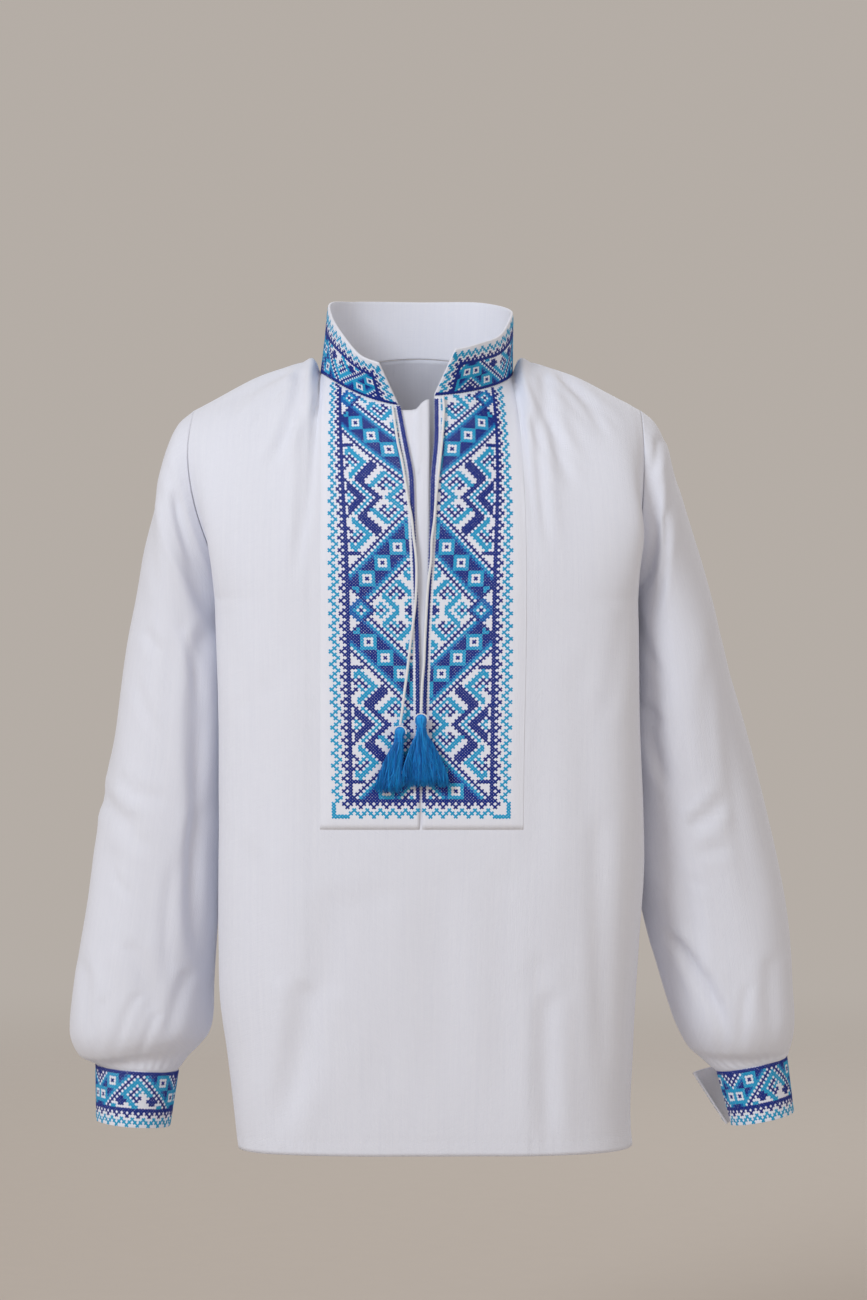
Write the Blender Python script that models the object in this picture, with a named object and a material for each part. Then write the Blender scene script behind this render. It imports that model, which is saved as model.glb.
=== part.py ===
# Vyshyvanka shirt: a boy's embroidered shirt in its worn shape, hollow, with sleeves hanging at its sides.
# Metres, +Z up, +X to the right of someone who faces the shirt, and the front faces -Y.
# The origin is the middle of the neck, at the height of the collar seam.
# Every cloth piece is a wall around its own surface. Left and right are those of someone who faces it.

import bpy
import numpy as np

MM = 0.001

# Walls and gaps, in metres
PANEL_WALL = 1.1 * MM
BAND_WALL = 2.2 * MM
LAID_WALL = 0.9 * MM
LAID_GAP = 0.5 * MM
UNDERLAP_GAP = 0.8 * MM
CORD_GAP = 0.5 * MM
SEAM_GAP = 0.32 * MM
SLEEVE_STEP = 0.7 * MM
COLLAR_GAP = 0.6 * MM

# Heights of the body, in millimetres
CHEST_Z = -158.0
HEM_Z = -545.0
BODY_MIDDLE_X = 4.0
BODY_SIDE_Y = 12.0  # where the side seams run, a little behind the middle, as the sleeves do

# How square the body is in plan: 2 is an ellipse, more is squarer
FRONT_SQUARENESS = 3.8
BACK_SQUARENESS = 2.9
DENT_SHARPNESS = 7.0

# Body sections in millimetres: how far the shape reaches at each height, and how deep each sleeve dents it
BODY_COLUMNS = ("z", "left", "right", "front", "back", "dent_left", "dent_right")
BODY_ROWS = (
    (-545.0, -125.5, 154.5, 98.0, 97.0, 0.13, 0.02),
    (-530.0, -127.4, 153.2, 98.5, 97.0, 0.12, 0.02),
    (-478.0, -133.4, 154.6, 99.0, 96.0, 0.10, 0.03),
    (-440.0, -138.6, 156.0, 99.5, 95.0, 0.10, 0.05),
    (-400.0, -139.5, 157.5, 99.5, 94.0, 0.10, 0.08),
    (-347.0, -139.0, 160.8, 99.5, 93.0, 0.12, 0.11),
    (-311.0, -138.6, 160.0, 99.0, 92.0, 0.13, 0.145),
    (-230.0, -139.0, 156.5, 98.0, 90.0, 0.15, 0.185),
    (-158.0, -142.5, 156.0, 95.5, 88.0, 0.15, 0.185),
)

# Shoulder seam in millimetres: share of the way from the neck to the tip, and height
NECK_X = 69.0
SHOULDER_Y = 3.0
SHOULDER_COLUMNS = ("share", "z")
SHOULDER_ROWS = (
    (0.0, 5.0), (0.035, 13.5), (0.15, 13.2), (0.3, 9.2), (0.5, 2.8), (0.7, -6.5), (0.88, -16.0), (1.0, -21.5),
)

# Neckline in millimetres: its reach forward and back, and how far it drops at the front and rises at the back
NECK_SIDE_Z = 5.0
NECK_FRONT_Y = 69.0
NECK_BACK_Y = 57.0
NECK_BACK_RISE = 15.0
NECK_DROP = {-1: (28.0, 2.0), 1: (21.0, 1.15)}  # drop and sharpness, left and right

# Share of the panel's half that the neckline takes, and the turn of the body section below the neck point
NECK_SHARE = 0.4
NECK_TURN = 26.0

# How full the panel drops from its top edge to the chest, and where it starts to be drawn to the armhole
DROP_FULLNESS = 1.05
ARMHOLE_PULL = 0.5

# Armholes in millimetres: tip of the shoulder, underarm, and how far the seam reaches forward and back.
# The last row, at a share of 1, is the side of the body under the arm, so it isn't in the table.
TIP_Z = -21.5
UNDERARM_Z = CHEST_Z
ARMHOLE_REACH = 54.0
ARMHOLE_COLUMNS = ("share", "left", "right")
ARMHOLE_ROWS = (
    (0.0, -160.0, 161.0), (0.25, -162.0, 161.5), (0.5, -157.0, 160.0), (0.75, -146.0, 157.0),
)

# Sleeve sections in millimetres: outer and inner point of each ring, and its reach forward and back.
# Columns: outer_x, outer_z, inner_x, inner_z, front, back. The ring before them is the armhole's.
SLEEVE_ROWS = {
    "left": (
        (-171.5, -33.0, -135.5, -163.0, -45.0, 69.0),
        (-181.0, -56.0, -137.5, -168.0, -48.0, 73.0),
        (-188.5, -86.0, -138.0, -177.0, -49.0, 77.0),
        (-195.5, -119.0, -137.5, -189.0, -49.0, 79.0),
        (-202.5, -156.0, -137.0, -205.0, -48.0, 81.0),
        (-210.5, -196.0, -137.0, -226.0, -46.0, 82.0),
        (-219.5, -262.0, -137.5, -272.0, -43.0, 81.0),
        (-228.5, -318.0, -138.5, -318.0, -40.0, 79.0),
        (-236.5, -372.0, -141.5, -364.0, -37.0, 76.0),
        (-244.0, -415.0, -144.5, -404.0, -35.0, 73.0),
        (-249.0, -446.0, -147.0, -434.0, -34.0, 71.0),
        (-250.5, -467.0, -148.0, -458.0, -33.0, 69.0),
        (-248.5, -478.0, -151.0, -470.5, -30.0, 66.0),
        (-243.0, -487.0, -157.5, -479.0, -24.0, 60.0),
        (-236.0, -490.5, -166.0, -487.5, -17.0, 51.0),
        (-229.5, -493.0, -172.5, -497.0, -14.0, 42.0),
    ),
    "right": (
        (172.0, -31.0, 150.0, -163.0, -45.0, 69.0),
        (180.5, -49.0, 151.5, -168.0, -48.0, 73.0),
        (188.5, -76.0, 152.0, -177.0, -49.0, 77.0),
        (198.5, -109.0, 152.0, -189.0, -49.0, 79.0),
        (209.5, -143.0, 152.0, -205.0, -48.0, 81.0),
        (221.5, -183.0, 152.0, -226.0, -46.0, 82.0),
        (236.0, -240.0, 152.5, -268.0, -43.0, 81.0),
        (248.5, -293.0, 153.5, -312.0, -40.0, 79.0),
        (259.5, -346.0, 159.0, -356.0, -37.0, 76.0),
        (267.5, -392.0, 166.5, -396.0, -35.0, 73.0),
        (271.5, -428.0, 175.0, -428.0, -34.0, 71.0),
        (273.5, -456.0, 184.0, -456.0, -33.0, 69.0),
        (273.0, -470.0, 190.0, -470.0, -30.0, 66.0),
        (271.0, -479.5, 197.0, -481.5, -24.0, 60.0),
        (269.0, -484.5, 206.0, -489.0, -17.0, 51.0),
        (268.0, -486.5, 215.0, -496.9, -14.0, 42.0),
    ),
}
SLEEVE_SQUARENESS = 2.2
ARMHOLE_FADE = 0.42  # share of the sleeve over which the armhole's own outline fades out

# Cuffs in millimetres: middle of the top edge, lean in degrees, and how much narrower the lower edge is.
# Columns: x, y, z, lean, half_width, half_depth, height, taper.
CUFF_ROWS = {
    "left": (-201.0, 14.0, -495.8, -4.0, 28.6, 28.0, 41.0, 0.88),
    "right": (241.6, 14.0, -492.6, 11.5, 26.6, 28.0, 41.0, 0.88),
}
# Lapped or open ends of each cuff: start and end turn in degrees, and how far the ends stand off the ring.
# Columns: start, end, start_off, end_off_top, end_off_low.
CUFF_ENDS = {
    "left": (-103.0, 268.0, 3.2, 0.0, 0.0),
    "right": (-76.0, 262.0, 0.0, 16.0, 3.0),
}
CUFF_END_TURN = 50.0  # degrees over which an end lifts off

# Collar's top edge in millimetres, from the left front end round the back to the right front end.
# Columns: turn, x, y, z.
COLLAR_ROWS = (
    (-169.5, -26.6, -79.0, 5.9),
    (-148.0, -40.0, -66.0, 12.8),
    (-123.0, -53.0, -44.0, 29.5),
    (-95.0, -62.0, -10.0, 46.5),
    (-75.0, -63.5, 16.0, 57.0),
    (-45.0, -46.5, 46.0, 61.0),
    (0.0, 2.0, 61.0, 62.0),
    (45.0, 50.5, 47.0, 60.0),
    (75.0, 68.5, 18.0, 52.5),
    (95.0, 68.5, -6.0, 45.5),
    (118.0, 59.5, -38.0, 29.0),
    (140.0, 45.0, -61.0, 21.5),
    (169.5, 27.9, -73.0, 16.2),
)

# The chest opening in millimetres: the inner edge of each chest half at each height
SLIT_COLUMNS = ("z", "left", "right")
SLIT_ROWS = (
    (-330.0, 2.6, 4.4),
    (-236.0, 2.6, 4.8),
    (-184.0, 2.0, 6.4),
    (-143.0, 0.8, 8.4),
    (-100.0, -0.8, 9.8),
    (-70.0, -2.2, 10.6),
    (-52.0, -5.6, 12.4),
    (-10.0, -13.6, 12.8),
)
SLIT_END_Z = -236.0
SLIT_INSET = 0.002  # how far the panel's own edge stays behind the chest half's, as a share of its width

# Chest halves in millimetres
CHEST_EDGE_COLUMNS = ("z", "left", "right")
CHEST_EDGE_ROWS = ((-330.0, -66.5, 74.5), (-60.0, -66.5, 74.5), (-25.0, -66.5, 72.0), (5.0, -66.0, 67.0))
CHEST_BOTTOM_Z = -318.5

# Underlap in millimetres: left and right edge, lowest point, and how far it starts below the collar seam
UNDERLAP = (-26.0, 9.4, -250.0)
UNDERLAP_DROP = 1.2

# Tie cords in millimetres: hand-chosen places down the chest. Columns: x, z, and the lift off the cloth.
CORD_DIAMETER = 1.9 * MM
CORD_ROUTES = {
    "left": (
        (-16.2, -24.5, 0), (-14.4, -38.0, 0), (-12.6, -50.0, 0), (-9.9, -62.0, 0), (-6.9, -80.5, 0),
        (-5.4, -91.0, 0), (-3.2, -101.5, 0), (-1.7, -115.5, 0), (0.1, -130.0, 0), (0.3, -150.0, 0),
        (-0.5, -163.0, 0), (-1.6, -173.0, 0), (-3.4, -186.5, 0), (-4.8, -198.5, 0.3), (-6.2, -210.5, 0.8),
        (-7.9, -223.0, 1.5), (-9.3, -234.5, 2.4), (-10.8, -246.0, 3.0),
    ),
    "right": (
        (18.4, -17.5, 0), (19.1, -26.0, 0), (18.5, -38.0, 0), (17.7, -50.0, 0), (16.7, -60.5, 0),
        (15.6, -71.0, 0), (14.6, -81.5, 0), (13.6, -93.5, 0), (12.6, -106.0, 0), (11.2, -116.0, 0),
        (10.5, -132.5, 0), (8.8, -145.0, 0), (7.7, -158.5, 0), (7.0, -172.5, 0.1), (6.3, -186.0, 0.4),
        (5.6, -203.5, 1.1), (4.3, -219.0, 2.2), (3.6, -237.4, 3.4),
    ),
}
CORD_POINTS = 48

# Tassels in millimetres, from the top down. Columns: z, x, y, half_width, half_depth of each section.
TASSEL_ROWS = {
    "left": (
        (-246.4, -10.9, -105.4, 1.4, 1.4),
        (-247.6, -10.9, -105.4, 3.2, 2.8),
        (-251.0, -11.0, -105.4, 3.9, 3.4),
        (-254.6, -11.4, -105.4, 2.8, 2.6),
        (-257.6, -11.9, -105.4, 3.0, 2.7),
        (-264.0, -13.6, -105.2, 4.8, 3.0),
        (-274.0, -16.2, -104.9, 7.0, 3.0),
        (-284.0, -18.2, -104.9, 8.6, 2.8),
        (-293.5, -19.6, -104.8, 9.2, 2.5),
    ),
    "right": (
        (-237.8, 3.6, -105.8, 1.4, 1.4),
        (-239.0, 3.6, -105.8, 3.4, 3.0),
        (-243.4, 3.6, -105.8, 4.2, 3.8),
        (-247.6, 3.8, -105.8, 2.9, 2.8),
        (-250.6, 3.9, -105.8, 3.1, 3.0),
        (-257.0, 4.4, -105.8, 6.4, 3.6),
        (-267.0, 5.2, -105.8, 10.8, 3.8),
        (-278.0, 6.0, -105.8, 14.6, 3.8),
        (-289.5, 6.6, -105.6, 16.6, 3.4),
    ),
}

# Main folds in millimetres: both ends as seen from the front or back, bend to one side, width and depth.
# Columns: x0, z0, x1, z1, bend, width, depth.
FRONT_FOLDS = (
    (-82.0, 8.0, -106.0, -72.0, -5.0, 9.0, 2.6),
    (-78.0, -16.0, -84.0, -150.0, -3.0, 9.0, 2.0),
    (-90.0, 8.0, -138.0, -32.0, 5.0, 9.0, 1.8),
    (90.0, 8.0, 112.0, -86.0, 5.0, 10.0, 2.6),
    (86.0, -20.0, 93.0, -130.0, 3.0, 9.0, 2.0),
    (98.0, 8.0, 136.0, -50.0, -4.0, 9.0, 2.0),
    (92.0, -450.0, 94.0, -545.0, 2.0, 14.0, 2.6),
    (-76.0, -420.0, -98.0, -540.0, -4.0, 20.0, 2.6),
)
BACK_FOLDS = (
    (-58.0, 6.0, -82.0, -110.0, -4.0, 10.0, 2.4),
    (-20.0, 14.0, -28.0, -130.0, -2.0, 10.0, 1.8),
    (24.0, 14.0, 30.0, -140.0, 3.0, 10.0, 2.0),
    (60.0, 6.0, 88.0, -120.0, 4.0, 10.0, 2.4),
    (-70.0, -300.0, -84.0, -545.0, -4.0, 20.0, 4.0),
    (-6.0, -340.0, -2.0, -545.0, 3.0, 22.0, 3.4),
    (74.0, -280.0, 90.0, -545.0, 4.0, 20.0, 4.2),
)
SLEEVE_FOLDS = {
    ("left", "front"): (
        (-172.0, -80.0, -136.0, -196.0, 4.0, 11.0, 3.0),
        (-150.0, -170.0, -153.0, -330.0, 6.0, 12.0, 3.4),
        (-153.0, -300.0, -150.0, -434.0, 8.0, 12.0, 3.0),
        (-238.0, -286.0, -190.0, -322.0, 5.0, 12.0, 2.2),
    ),
    ("left", "back"): (
        (-176.0, -90.0, -140.0, -210.0, -4.0, 11.0, 2.6),
        (-222.0, -290.0, -160.0, -262.0, 6.0, 12.0, 2.6),
        (-214.0, -440.0, -190.0, -340.0, -6.0, 14.0, 2.2),
    ),
    ("right", "front"): (
        (172.0, -40.0, 159.0, -76.0, -3.0, 9.0, 2.2),
        (166.0, -228.0, 182.0, -296.0, 4.0, 12.0, 2.4),
        (194.0, -320.0, 222.0, -294.0, 4.0, 10.0, 2.2),
        (178.0, -394.0, 218.0, -464.0, -5.0, 10.0, 3.0),
    ),
    ("right", "back"): (
        (180.0, -90.0, 156.0, -206.0, 4.0, 11.0, 2.6),
        (236.0, -290.0, 178.0, -262.0, -6.0, 12.0, 2.6),
        (236.0, -450.0, 212.0, -350.0, 6.0, 14.0, 2.2),
    ),
}

# Rows and columns of the grids. The shoulder columns are the same on both panels, so that their seams meet.
FRONT_V = (
    0.0, 0.05, 0.12, 0.2, 0.3, 0.4, 0.5, 0.6, 0.7, 0.8, 0.9, 1.0,
    1.1, 1.2, 1.31, 1.415, 1.56, 1.7, 1.85, 2.0,
)
SHOULDER_SHARES = (1.0, 0.95, 0.89, 0.82, 0.74, 0.66, 0.58, 0.5, 0.4)
BACK_NECK_SHARES = (0.34, 0.28, 0.21, 0.14, 0.07, 0.0)
CHEST_SHARES = (0.0, 0.14, 0.34, 0.56, 0.78, 1.0)
CHEST_TOP_V = 0.012
SLEEVE_U = (
    0.0, 0.05, 0.11, 0.17, 0.235, 0.3, 0.36, 0.42, 0.48, 0.54, 0.6, 0.66, 0.72, 0.775, 0.83, 0.885, 0.94, 1.0,
)
COLLAR_COLUMNS, COLLAR_LINES = 33, 3
CUFF_COLUMNS, CUFF_LINES = 27, 3
UNDERLAP_COLUMNS, UNDERLAP_LINES = 5, 13
TASSEL_SIDES = 12

# Plain colours and roughness of the pieces
COLOURS = {
    "cloth": (0.86, 0.87, 0.93, 0.72),
    "stitched": (0.10, 0.30, 0.62, 0.80),
    "cord": (0.90, 0.89, 0.86, 0.60),
    "tassel": (0.03, 0.17, 0.42, 0.70),
}


# Small helpers

def side_name(side):
    """Name of a side: -1 is the left."""
    return "left" if side < 0 else "right"


def column(rows, names, name):
    """One named column of a table, as numbers."""
    return np.array([row[names.index(name)] for row in rows], float)


def through(keys, values, at):
    """A smooth curve through rows given at rising keys, read at any place between them."""
    keys = np.asarray(keys, float)
    values = np.asarray(values, float)
    at = np.asarray(at, float)
    slopes = np.gradient(values, keys, axis=0)
    k = np.clip(np.searchsorted(keys, at, side="right") - 1, 0, len(keys) - 2)
    span = keys[k + 1] - keys[k]
    t = np.clip((at - keys[k]) / span, 0.0, 1.0)
    if values.ndim > 1:
        t = t[..., None]
        span = span[..., None]
    a = (1 + 2 * t) * (1 - t) ** 2
    b = t * (1 - t) ** 2 * span
    c = t * t * (3 - 2 * t)
    d = t * t * (t - 1) * span
    return a * values[k] + b * slopes[k] + c * values[k + 1] + d * slopes[k + 1]


def ease(x):
    """0 below 0, 1 above 1, and smooth between."""
    x = np.clip(x, 0.0, 1.0)
    return x * x * (3 - 2 * x)


# The body's surface, in millimetres

def section_outline(turn, square, dent):
    """Across and depth of a rounded section of size 1. A turn of 0 is its middle and 90 degrees its side."""
    across = np.sin(np.radians(turn))
    depth = np.cos(np.radians(turn))
    reach = (np.abs(across) ** square + np.abs(depth) ** square) ** (-1.0 / square)
    across = across * reach * (1 - dent * np.abs(across) ** DENT_SHARPNESS)
    return across, depth * reach


def body_section(turn, z, face):
    """Point of the body below the chest. Face is -1 for the front and 1 for the back."""
    z = np.asarray(z, float)
    keys = column(BODY_ROWS, BODY_COLUMNS, "z")
    read = {n: through(keys, column(BODY_ROWS, BODY_COLUMNS, n), z) for n in BODY_COLUMNS[1:]}
    square = FRONT_SQUARENESS if face < 0 else BACK_SQUARENESS
    dent = np.where(turn < 0, read["dent_left"], read["dent_right"])
    across, depth = section_outline(turn, square, dent)
    samples = np.linspace(30.0, 90.0, 31)
    widest = section_outline(samples, FRONT_SQUARENESS, dent[..., None])[0].max(-1)
    half = np.where(turn < 0, BODY_MIDDLE_X - read["left"], read["right"] - BODY_MIDDLE_X)
    x = BODY_MIDDLE_X + half / widest * across
    y = BODY_SIDE_Y + depth * np.where(face < 0, -read["front"] - BODY_SIDE_Y, read["back"] - BODY_SIDE_Y)
    return np.stack(np.broadcast_arrays(x, y + 0 * x, z + 0 * x), -1)


def turn_below(s):
    """Turn of the body section under each share of the panel's half width."""
    share = np.clip((np.abs(s) - NECK_SHARE) / (1 - NECK_SHARE), 0.0, 1.0)
    inner = NECK_TURN * np.minimum(np.abs(s), NECK_SHARE) / NECK_SHARE
    return np.sign(s) * (inner + (90.0 - NECK_TURN) * (0.35 * share + 0.65 * share ** 3))


def neckline(turn, side):
    """Point of the collar seam. A turn of 0 is the back, 180 the front, on the left for side -1."""
    forward = -np.cos(np.radians(turn))
    drop, sharp = NECK_DROP[side]
    x = side * NECK_X * np.sin(np.radians(turn))
    y = SHOULDER_Y - forward * np.where(forward > 0, NECK_FRONT_Y, NECK_BACK_Y)
    z_front = NECK_SIDE_Z - drop * np.abs(forward) ** sharp
    z_back = NECK_SIDE_Z + NECK_BACK_RISE * forward ** 2
    return np.stack([x, y, np.where(forward > 0, z_front, z_back)], -1)


def armhole_x(share, side):
    """Sideways place of the armhole seam at each share of its height."""
    underarm = body_section(np.array(90.0 * side), np.array(UNDERARM_Z), -1)[0]
    keys = np.append(column(ARMHOLE_ROWS, ARMHOLE_COLUMNS, "share"), 1.0)
    values = np.append(column(ARMHOLE_ROWS, ARMHOLE_COLUMNS, side_name(side)), underarm)
    return through(keys, values, share)


def armhole(turn, side):
    """Point of the armhole seam. A turn of 0 is the shoulder tip, 90 the front, 180 the underarm."""
    turn = np.radians(turn)
    share = (1 - np.cos(turn)) / 2
    z = TIP_Z + (UNDERARM_Z - TIP_Z) * share
    y_middle = SHOULDER_Y + (BODY_SIDE_Y - SHOULDER_Y) * share
    return np.stack([armhole_x(share, side), y_middle - ARMHOLE_REACH * np.sin(turn), z], -1)


def top_edge(s, face):
    """Top edge of the front or back panel, from one shoulder tip over the neck to the other."""
    side = np.where(s < 0, -1, 1)
    share = np.clip((np.abs(s) - NECK_SHARE) / (1 - NECK_SHARE), 0.0, 1.0)
    tip = np.where(s < 0, -armhole_x(0.0, -1), armhole_x(0.0, 1))
    z = through(
        column(SHOULDER_ROWS, SHOULDER_COLUMNS, "share"), column(SHOULDER_ROWS, SHOULDER_COLUMNS, "z"), share
    )
    shoulder = np.stack([side * (NECK_X + (tip - NECK_X) * share), SHOULDER_Y + 0 * share, z], -1)
    turn = 90.0 * np.minimum(np.abs(s) / NECK_SHARE, 1.0)
    turn = 180.0 - turn if face < 0 else turn
    neck = np.where((s < 0)[..., None], neckline(turn, -1), neckline(turn, 1))
    return np.where((np.abs(s) > NECK_SHARE)[..., None], shoulder, neck)


def plain_body(s, v, face):
    """The panel before it is drawn to the armhole: a smooth drop from its top, then the body sections."""
    turn = turn_below(s)
    t = np.clip(v, 0.0, 1.0)[..., None]
    z_below = CHEST_Z + (HEM_Z - CHEST_Z) * np.clip(v - 1.0, 0.0, 1.0)
    below = body_section(turn, z_below, face)
    chest = body_section(turn, np.full_like(s, CHEST_Z), face)
    downward = body_section(turn, np.full_like(s, CHEST_Z - 1.0), face) - chest
    top = top_edge(s, face)
    reach = DROP_FULLNESS * np.linalg.norm(chest - top, axis=-1, keepdims=True)
    side_share = np.minimum(np.abs(s) / NECK_SHARE, 1.0) ** 1.5
    leave = np.stack([0 * s, face * (0.45 + 0.52 * side_share), 0.62 * side_share - 0.9], -1)
    above = (1 + 2 * t) * (1 - t) ** 2 * top + t * (1 - t) ** 2 * reach * leave
    above = above + t * t * (3 - 2 * t) * chest + t * t * (t - 1) * reach * downward
    return np.where((v > 1.0)[..., None], below, above)


def body_surface(s, v, face):
    """Point of the front or back panel, in millimetres. s runs from one side seam to the other, -1 to 1,
    and v is 0 at the top edge, 1 at the chest and 2 at the hem."""
    s, v = np.broadcast_arrays(np.asarray(s, float), np.asarray(v, float))
    above = np.clip(v, 0.0, 1.0)
    turn = 180.0 * above if face < 0 else 360.0 - 180.0 * above
    point = plain_body(s, v, face)
    for side in (-1, 1):
        pull = armhole(turn, side) - plain_body(np.full_like(s, float(side)), above, face)
        near = ease((side * s - ARMHOLE_PULL) / (1 - ARMHOLE_PULL)) ** 2
        point = point + pull * near[..., None]
    return point


def outward_normal(surface, a, b, flip):
    """Unit normal of a surface of two numbers, from small steps of both."""
    step = 0.004
    along = surface(a + step, b) - surface(a - step, b)
    down = surface(a, b + step) - surface(a, b - step)
    normal = np.cross(down, along) * flip
    return normal / np.maximum(np.linalg.norm(normal, axis=-1, keepdims=True), 1e-12)


def fold_field(x, z, rows):
    """Sum of the folds at a place: each is a soft trough with low ridges beside it, faded at its ends."""
    total = np.zeros_like(x)
    for row in rows:
        x0, z0, x1, z1, bend, width, depth = row
        length = np.hypot(x1 - x0, z1 - z0)
        along = ((x - x0) * (x1 - x0) + (z - z0) * (z1 - z0)) / length ** 2
        off = ((x - x0) * (z1 - z0) - (z - z0) * (x1 - x0)) / length - bend * 4 * along * (1 - along)
        half = width / 2
        trough = np.exp(-((off / half) ** 2))
        ridges = np.exp(-((off / half - 1.7) ** 2)) + np.exp(-((off / half + 1.7) ** 2))
        reach = ease(along / 0.12) * ease((1.0 - along) / 0.35)
        total += depth * (0.45 * ridges - trough) * reach
    return total


def body_point(s, v, face):
    """Point of a body panel with its folds, which fade at the seams."""
    s, v = np.broadcast_arrays(np.asarray(s, float), np.asarray(v, float))
    point = body_surface(s, v, face)

    def surface(a, b):
        return body_surface(np.clip(a, -1, 1), np.clip(b, 0, 2), face)

    normal = outward_normal(surface, s, v, -face)
    rows = FRONT_FOLDS if face < 0 else BACK_FOLDS
    fade = ease((1 - np.abs(s)) / 0.12) * ease(v / 0.05)
    return point + normal * (fold_field(point[..., 0], point[..., 2], rows) * fade)[..., None]


def sleeve_surface(turn, u, side):
    """Point of a sleeve. A turn of 0 is its outer side and 90 its front, and u runs down it."""
    turn, u = np.broadcast_arrays(np.asarray(turn, float), np.asarray(u, float))
    first = (
        armhole_x(0.0, side), TIP_Z, armhole_x(1.0, side), UNDERARM_Z,
        BODY_SIDE_Y - ARMHOLE_REACH, BODY_SIDE_Y + ARMHOLE_REACH,
    )
    rows = np.array((first,) + SLEEVE_ROWS[side_name(side)], float)
    places = np.arange(len(rows))
    read = through(places, rows, u * (len(rows) - 1))
    ring = sleeve_ring(turn, read)
    start = sleeve_ring(turn, np.broadcast_to(rows[0], read.shape))
    fade = (1 - ease(u / ARMHOLE_FADE))[..., None]
    return ring + (armhole(turn, side) - start) * fade


def sleeve_ring(turn, read):
    """Point of one sleeve ring from its row."""
    outer_x, outer_z, inner_x, inner_z, front, back = np.moveaxis(read, -1, 0)
    across, depth = np.cos(np.radians(turn)), np.sin(np.radians(turn))
    square = SLEEVE_SQUARENESS
    reach = (np.abs(across) ** square + np.abs(depth) ** square) ** (-1 / square)
    x = (outer_x + inner_x) / 2 + (outer_x - inner_x) / 2 * across * reach
    z = (outer_z + inner_z) / 2 + (outer_z - inner_z) / 2 * across * reach
    y = (front + back) / 2 - (back - front) / 2 * depth * reach
    return np.stack([x, y, z], -1)


def sleeve_point(turn, u, side):
    """Point of a sleeve with its folds, which fade at the armhole and the cuff."""
    turn, u = np.broadcast_arrays(np.asarray(turn, float), np.asarray(u, float))
    point = sleeve_surface(turn, u, side)

    def surface(a, b):
        return sleeve_surface(a * 180.0, np.clip(b, 0, 1), side)

    normal = outward_normal(surface, turn / 180.0, u, -side)
    name = side_name(side)
    front = ease(0.5 + 2.2 * np.sin(np.radians(turn)))
    folds = fold_field(point[..., 0], point[..., 2], SLEEVE_FOLDS[name, "front"]) * front
    folds = folds + fold_field(point[..., 0], point[..., 2], SLEEVE_FOLDS[name, "back"]) * (1 - front)
    fade = ease(u / 0.08) * ease((1 - u) / 0.1)
    return point + normal * (folds * fade)[..., None] + side * np.array([SLEEVE_STEP / MM, 0.0, 0.0])


def cuff_point(turn, h, side):
    """Point of a cuff's outer face. A turn of 0 is its front and 90 its right side, and h runs down it."""
    name = side_name(side)
    x, y, z, lean, half_width, half_depth, height, taper = CUFF_ROWS[name]
    start, end, start_off, end_off_top, end_off_low = CUFF_ENDS[name]
    size = 1 + (taper - 1) * h
    end_off = end_off_top + (end_off_low - end_off_top) * h
    lift = start_off * (1 - ease((turn - start) / CUFF_END_TURN))
    lift = lift + end_off * (1 - ease((end - turn) / CUFF_END_TURN))
    across = (half_width * size + lift) * np.sin(np.radians(turn))
    depth = -(half_depth * size + lift) * np.cos(np.radians(turn))
    lean = np.radians(lean)
    down = height * h
    x = x + across * np.cos(lean) + down * np.sin(lean)
    z = z + across * np.sin(lean) - down * np.cos(lean)
    return np.stack(np.broadcast_arrays(x, y + depth, z), -1)


def collar_point(turn, h):
    """Point of the collar's outer face. A turn of 0 is the back, h is 0 at the seam and 1 at the top edge."""
    turn, h = np.broadcast_arrays(np.asarray(turn, float), np.asarray(h, float))
    base = np.where((turn < 0)[..., None], neckline(np.abs(turn), -1), neckline(np.abs(turn), 1))
    rows = np.array(COLLAR_ROWS, float)
    top = through(rows[:, 0], rows[:, 1:], turn)
    base = base + np.array([0.0, 0.0, COLLAR_GAP / MM])
    return base + (top - base) * h[..., None]


def place_on_front(x, z):
    """The panel's two numbers for a place given by x and z, found in a few Newton steps."""
    x, z = np.broadcast_arrays(np.asarray(x, float), np.asarray(z, float))
    s = (x - BODY_MIDDLE_X) / 200.0
    v = np.where(z > CHEST_Z, (10.0 - z) / (10.0 - CHEST_Z), 1 + (CHEST_Z - z) / (CHEST_Z - HEM_Z))
    step = 1e-4
    for _ in range(14):
        here = body_surface(s, v, -1)
        ds = (body_surface(s + step, v, -1) - here) / step
        dv = (body_surface(s, v + step, -1) - here) / step
        miss_x, miss_z = x - here[..., 0], z - here[..., 2]
        spread = ds[..., 0] * dv[..., 2] - ds[..., 2] * dv[..., 0]
        s = np.clip(s + np.clip((miss_x * dv[..., 2] - miss_z * dv[..., 0]) / spread, -0.1, 0.1), -0.95, 0.95)
        v = np.clip(v + np.clip((miss_z * ds[..., 0] - miss_x * ds[..., 2]) / spread, -0.2, 0.2), 0.001, 1.95)
    return s, v


def on_front(x, z, off):
    """Point at x and z on the front panel, moved out by some millimetres."""
    s, v = place_on_front(x, z)

    def surface(a, b):
        return body_point(a, b, -1)

    return body_point(s, v, -1) + outward_normal(surface, s, v, 1) * np.asarray(off)[..., None]


def neck_height(x):
    """Height of the collar seam at the front, for a place across it."""
    x = np.asarray(x, float)
    turn = 180.0 - np.degrees(np.arcsin(np.clip(np.abs(x) / NECK_X, 0.0, 1.0)))
    return np.where(x < 0, neckline(turn, -1)[..., 2], neckline(turn, 1)[..., 2])


# Meshes

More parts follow.
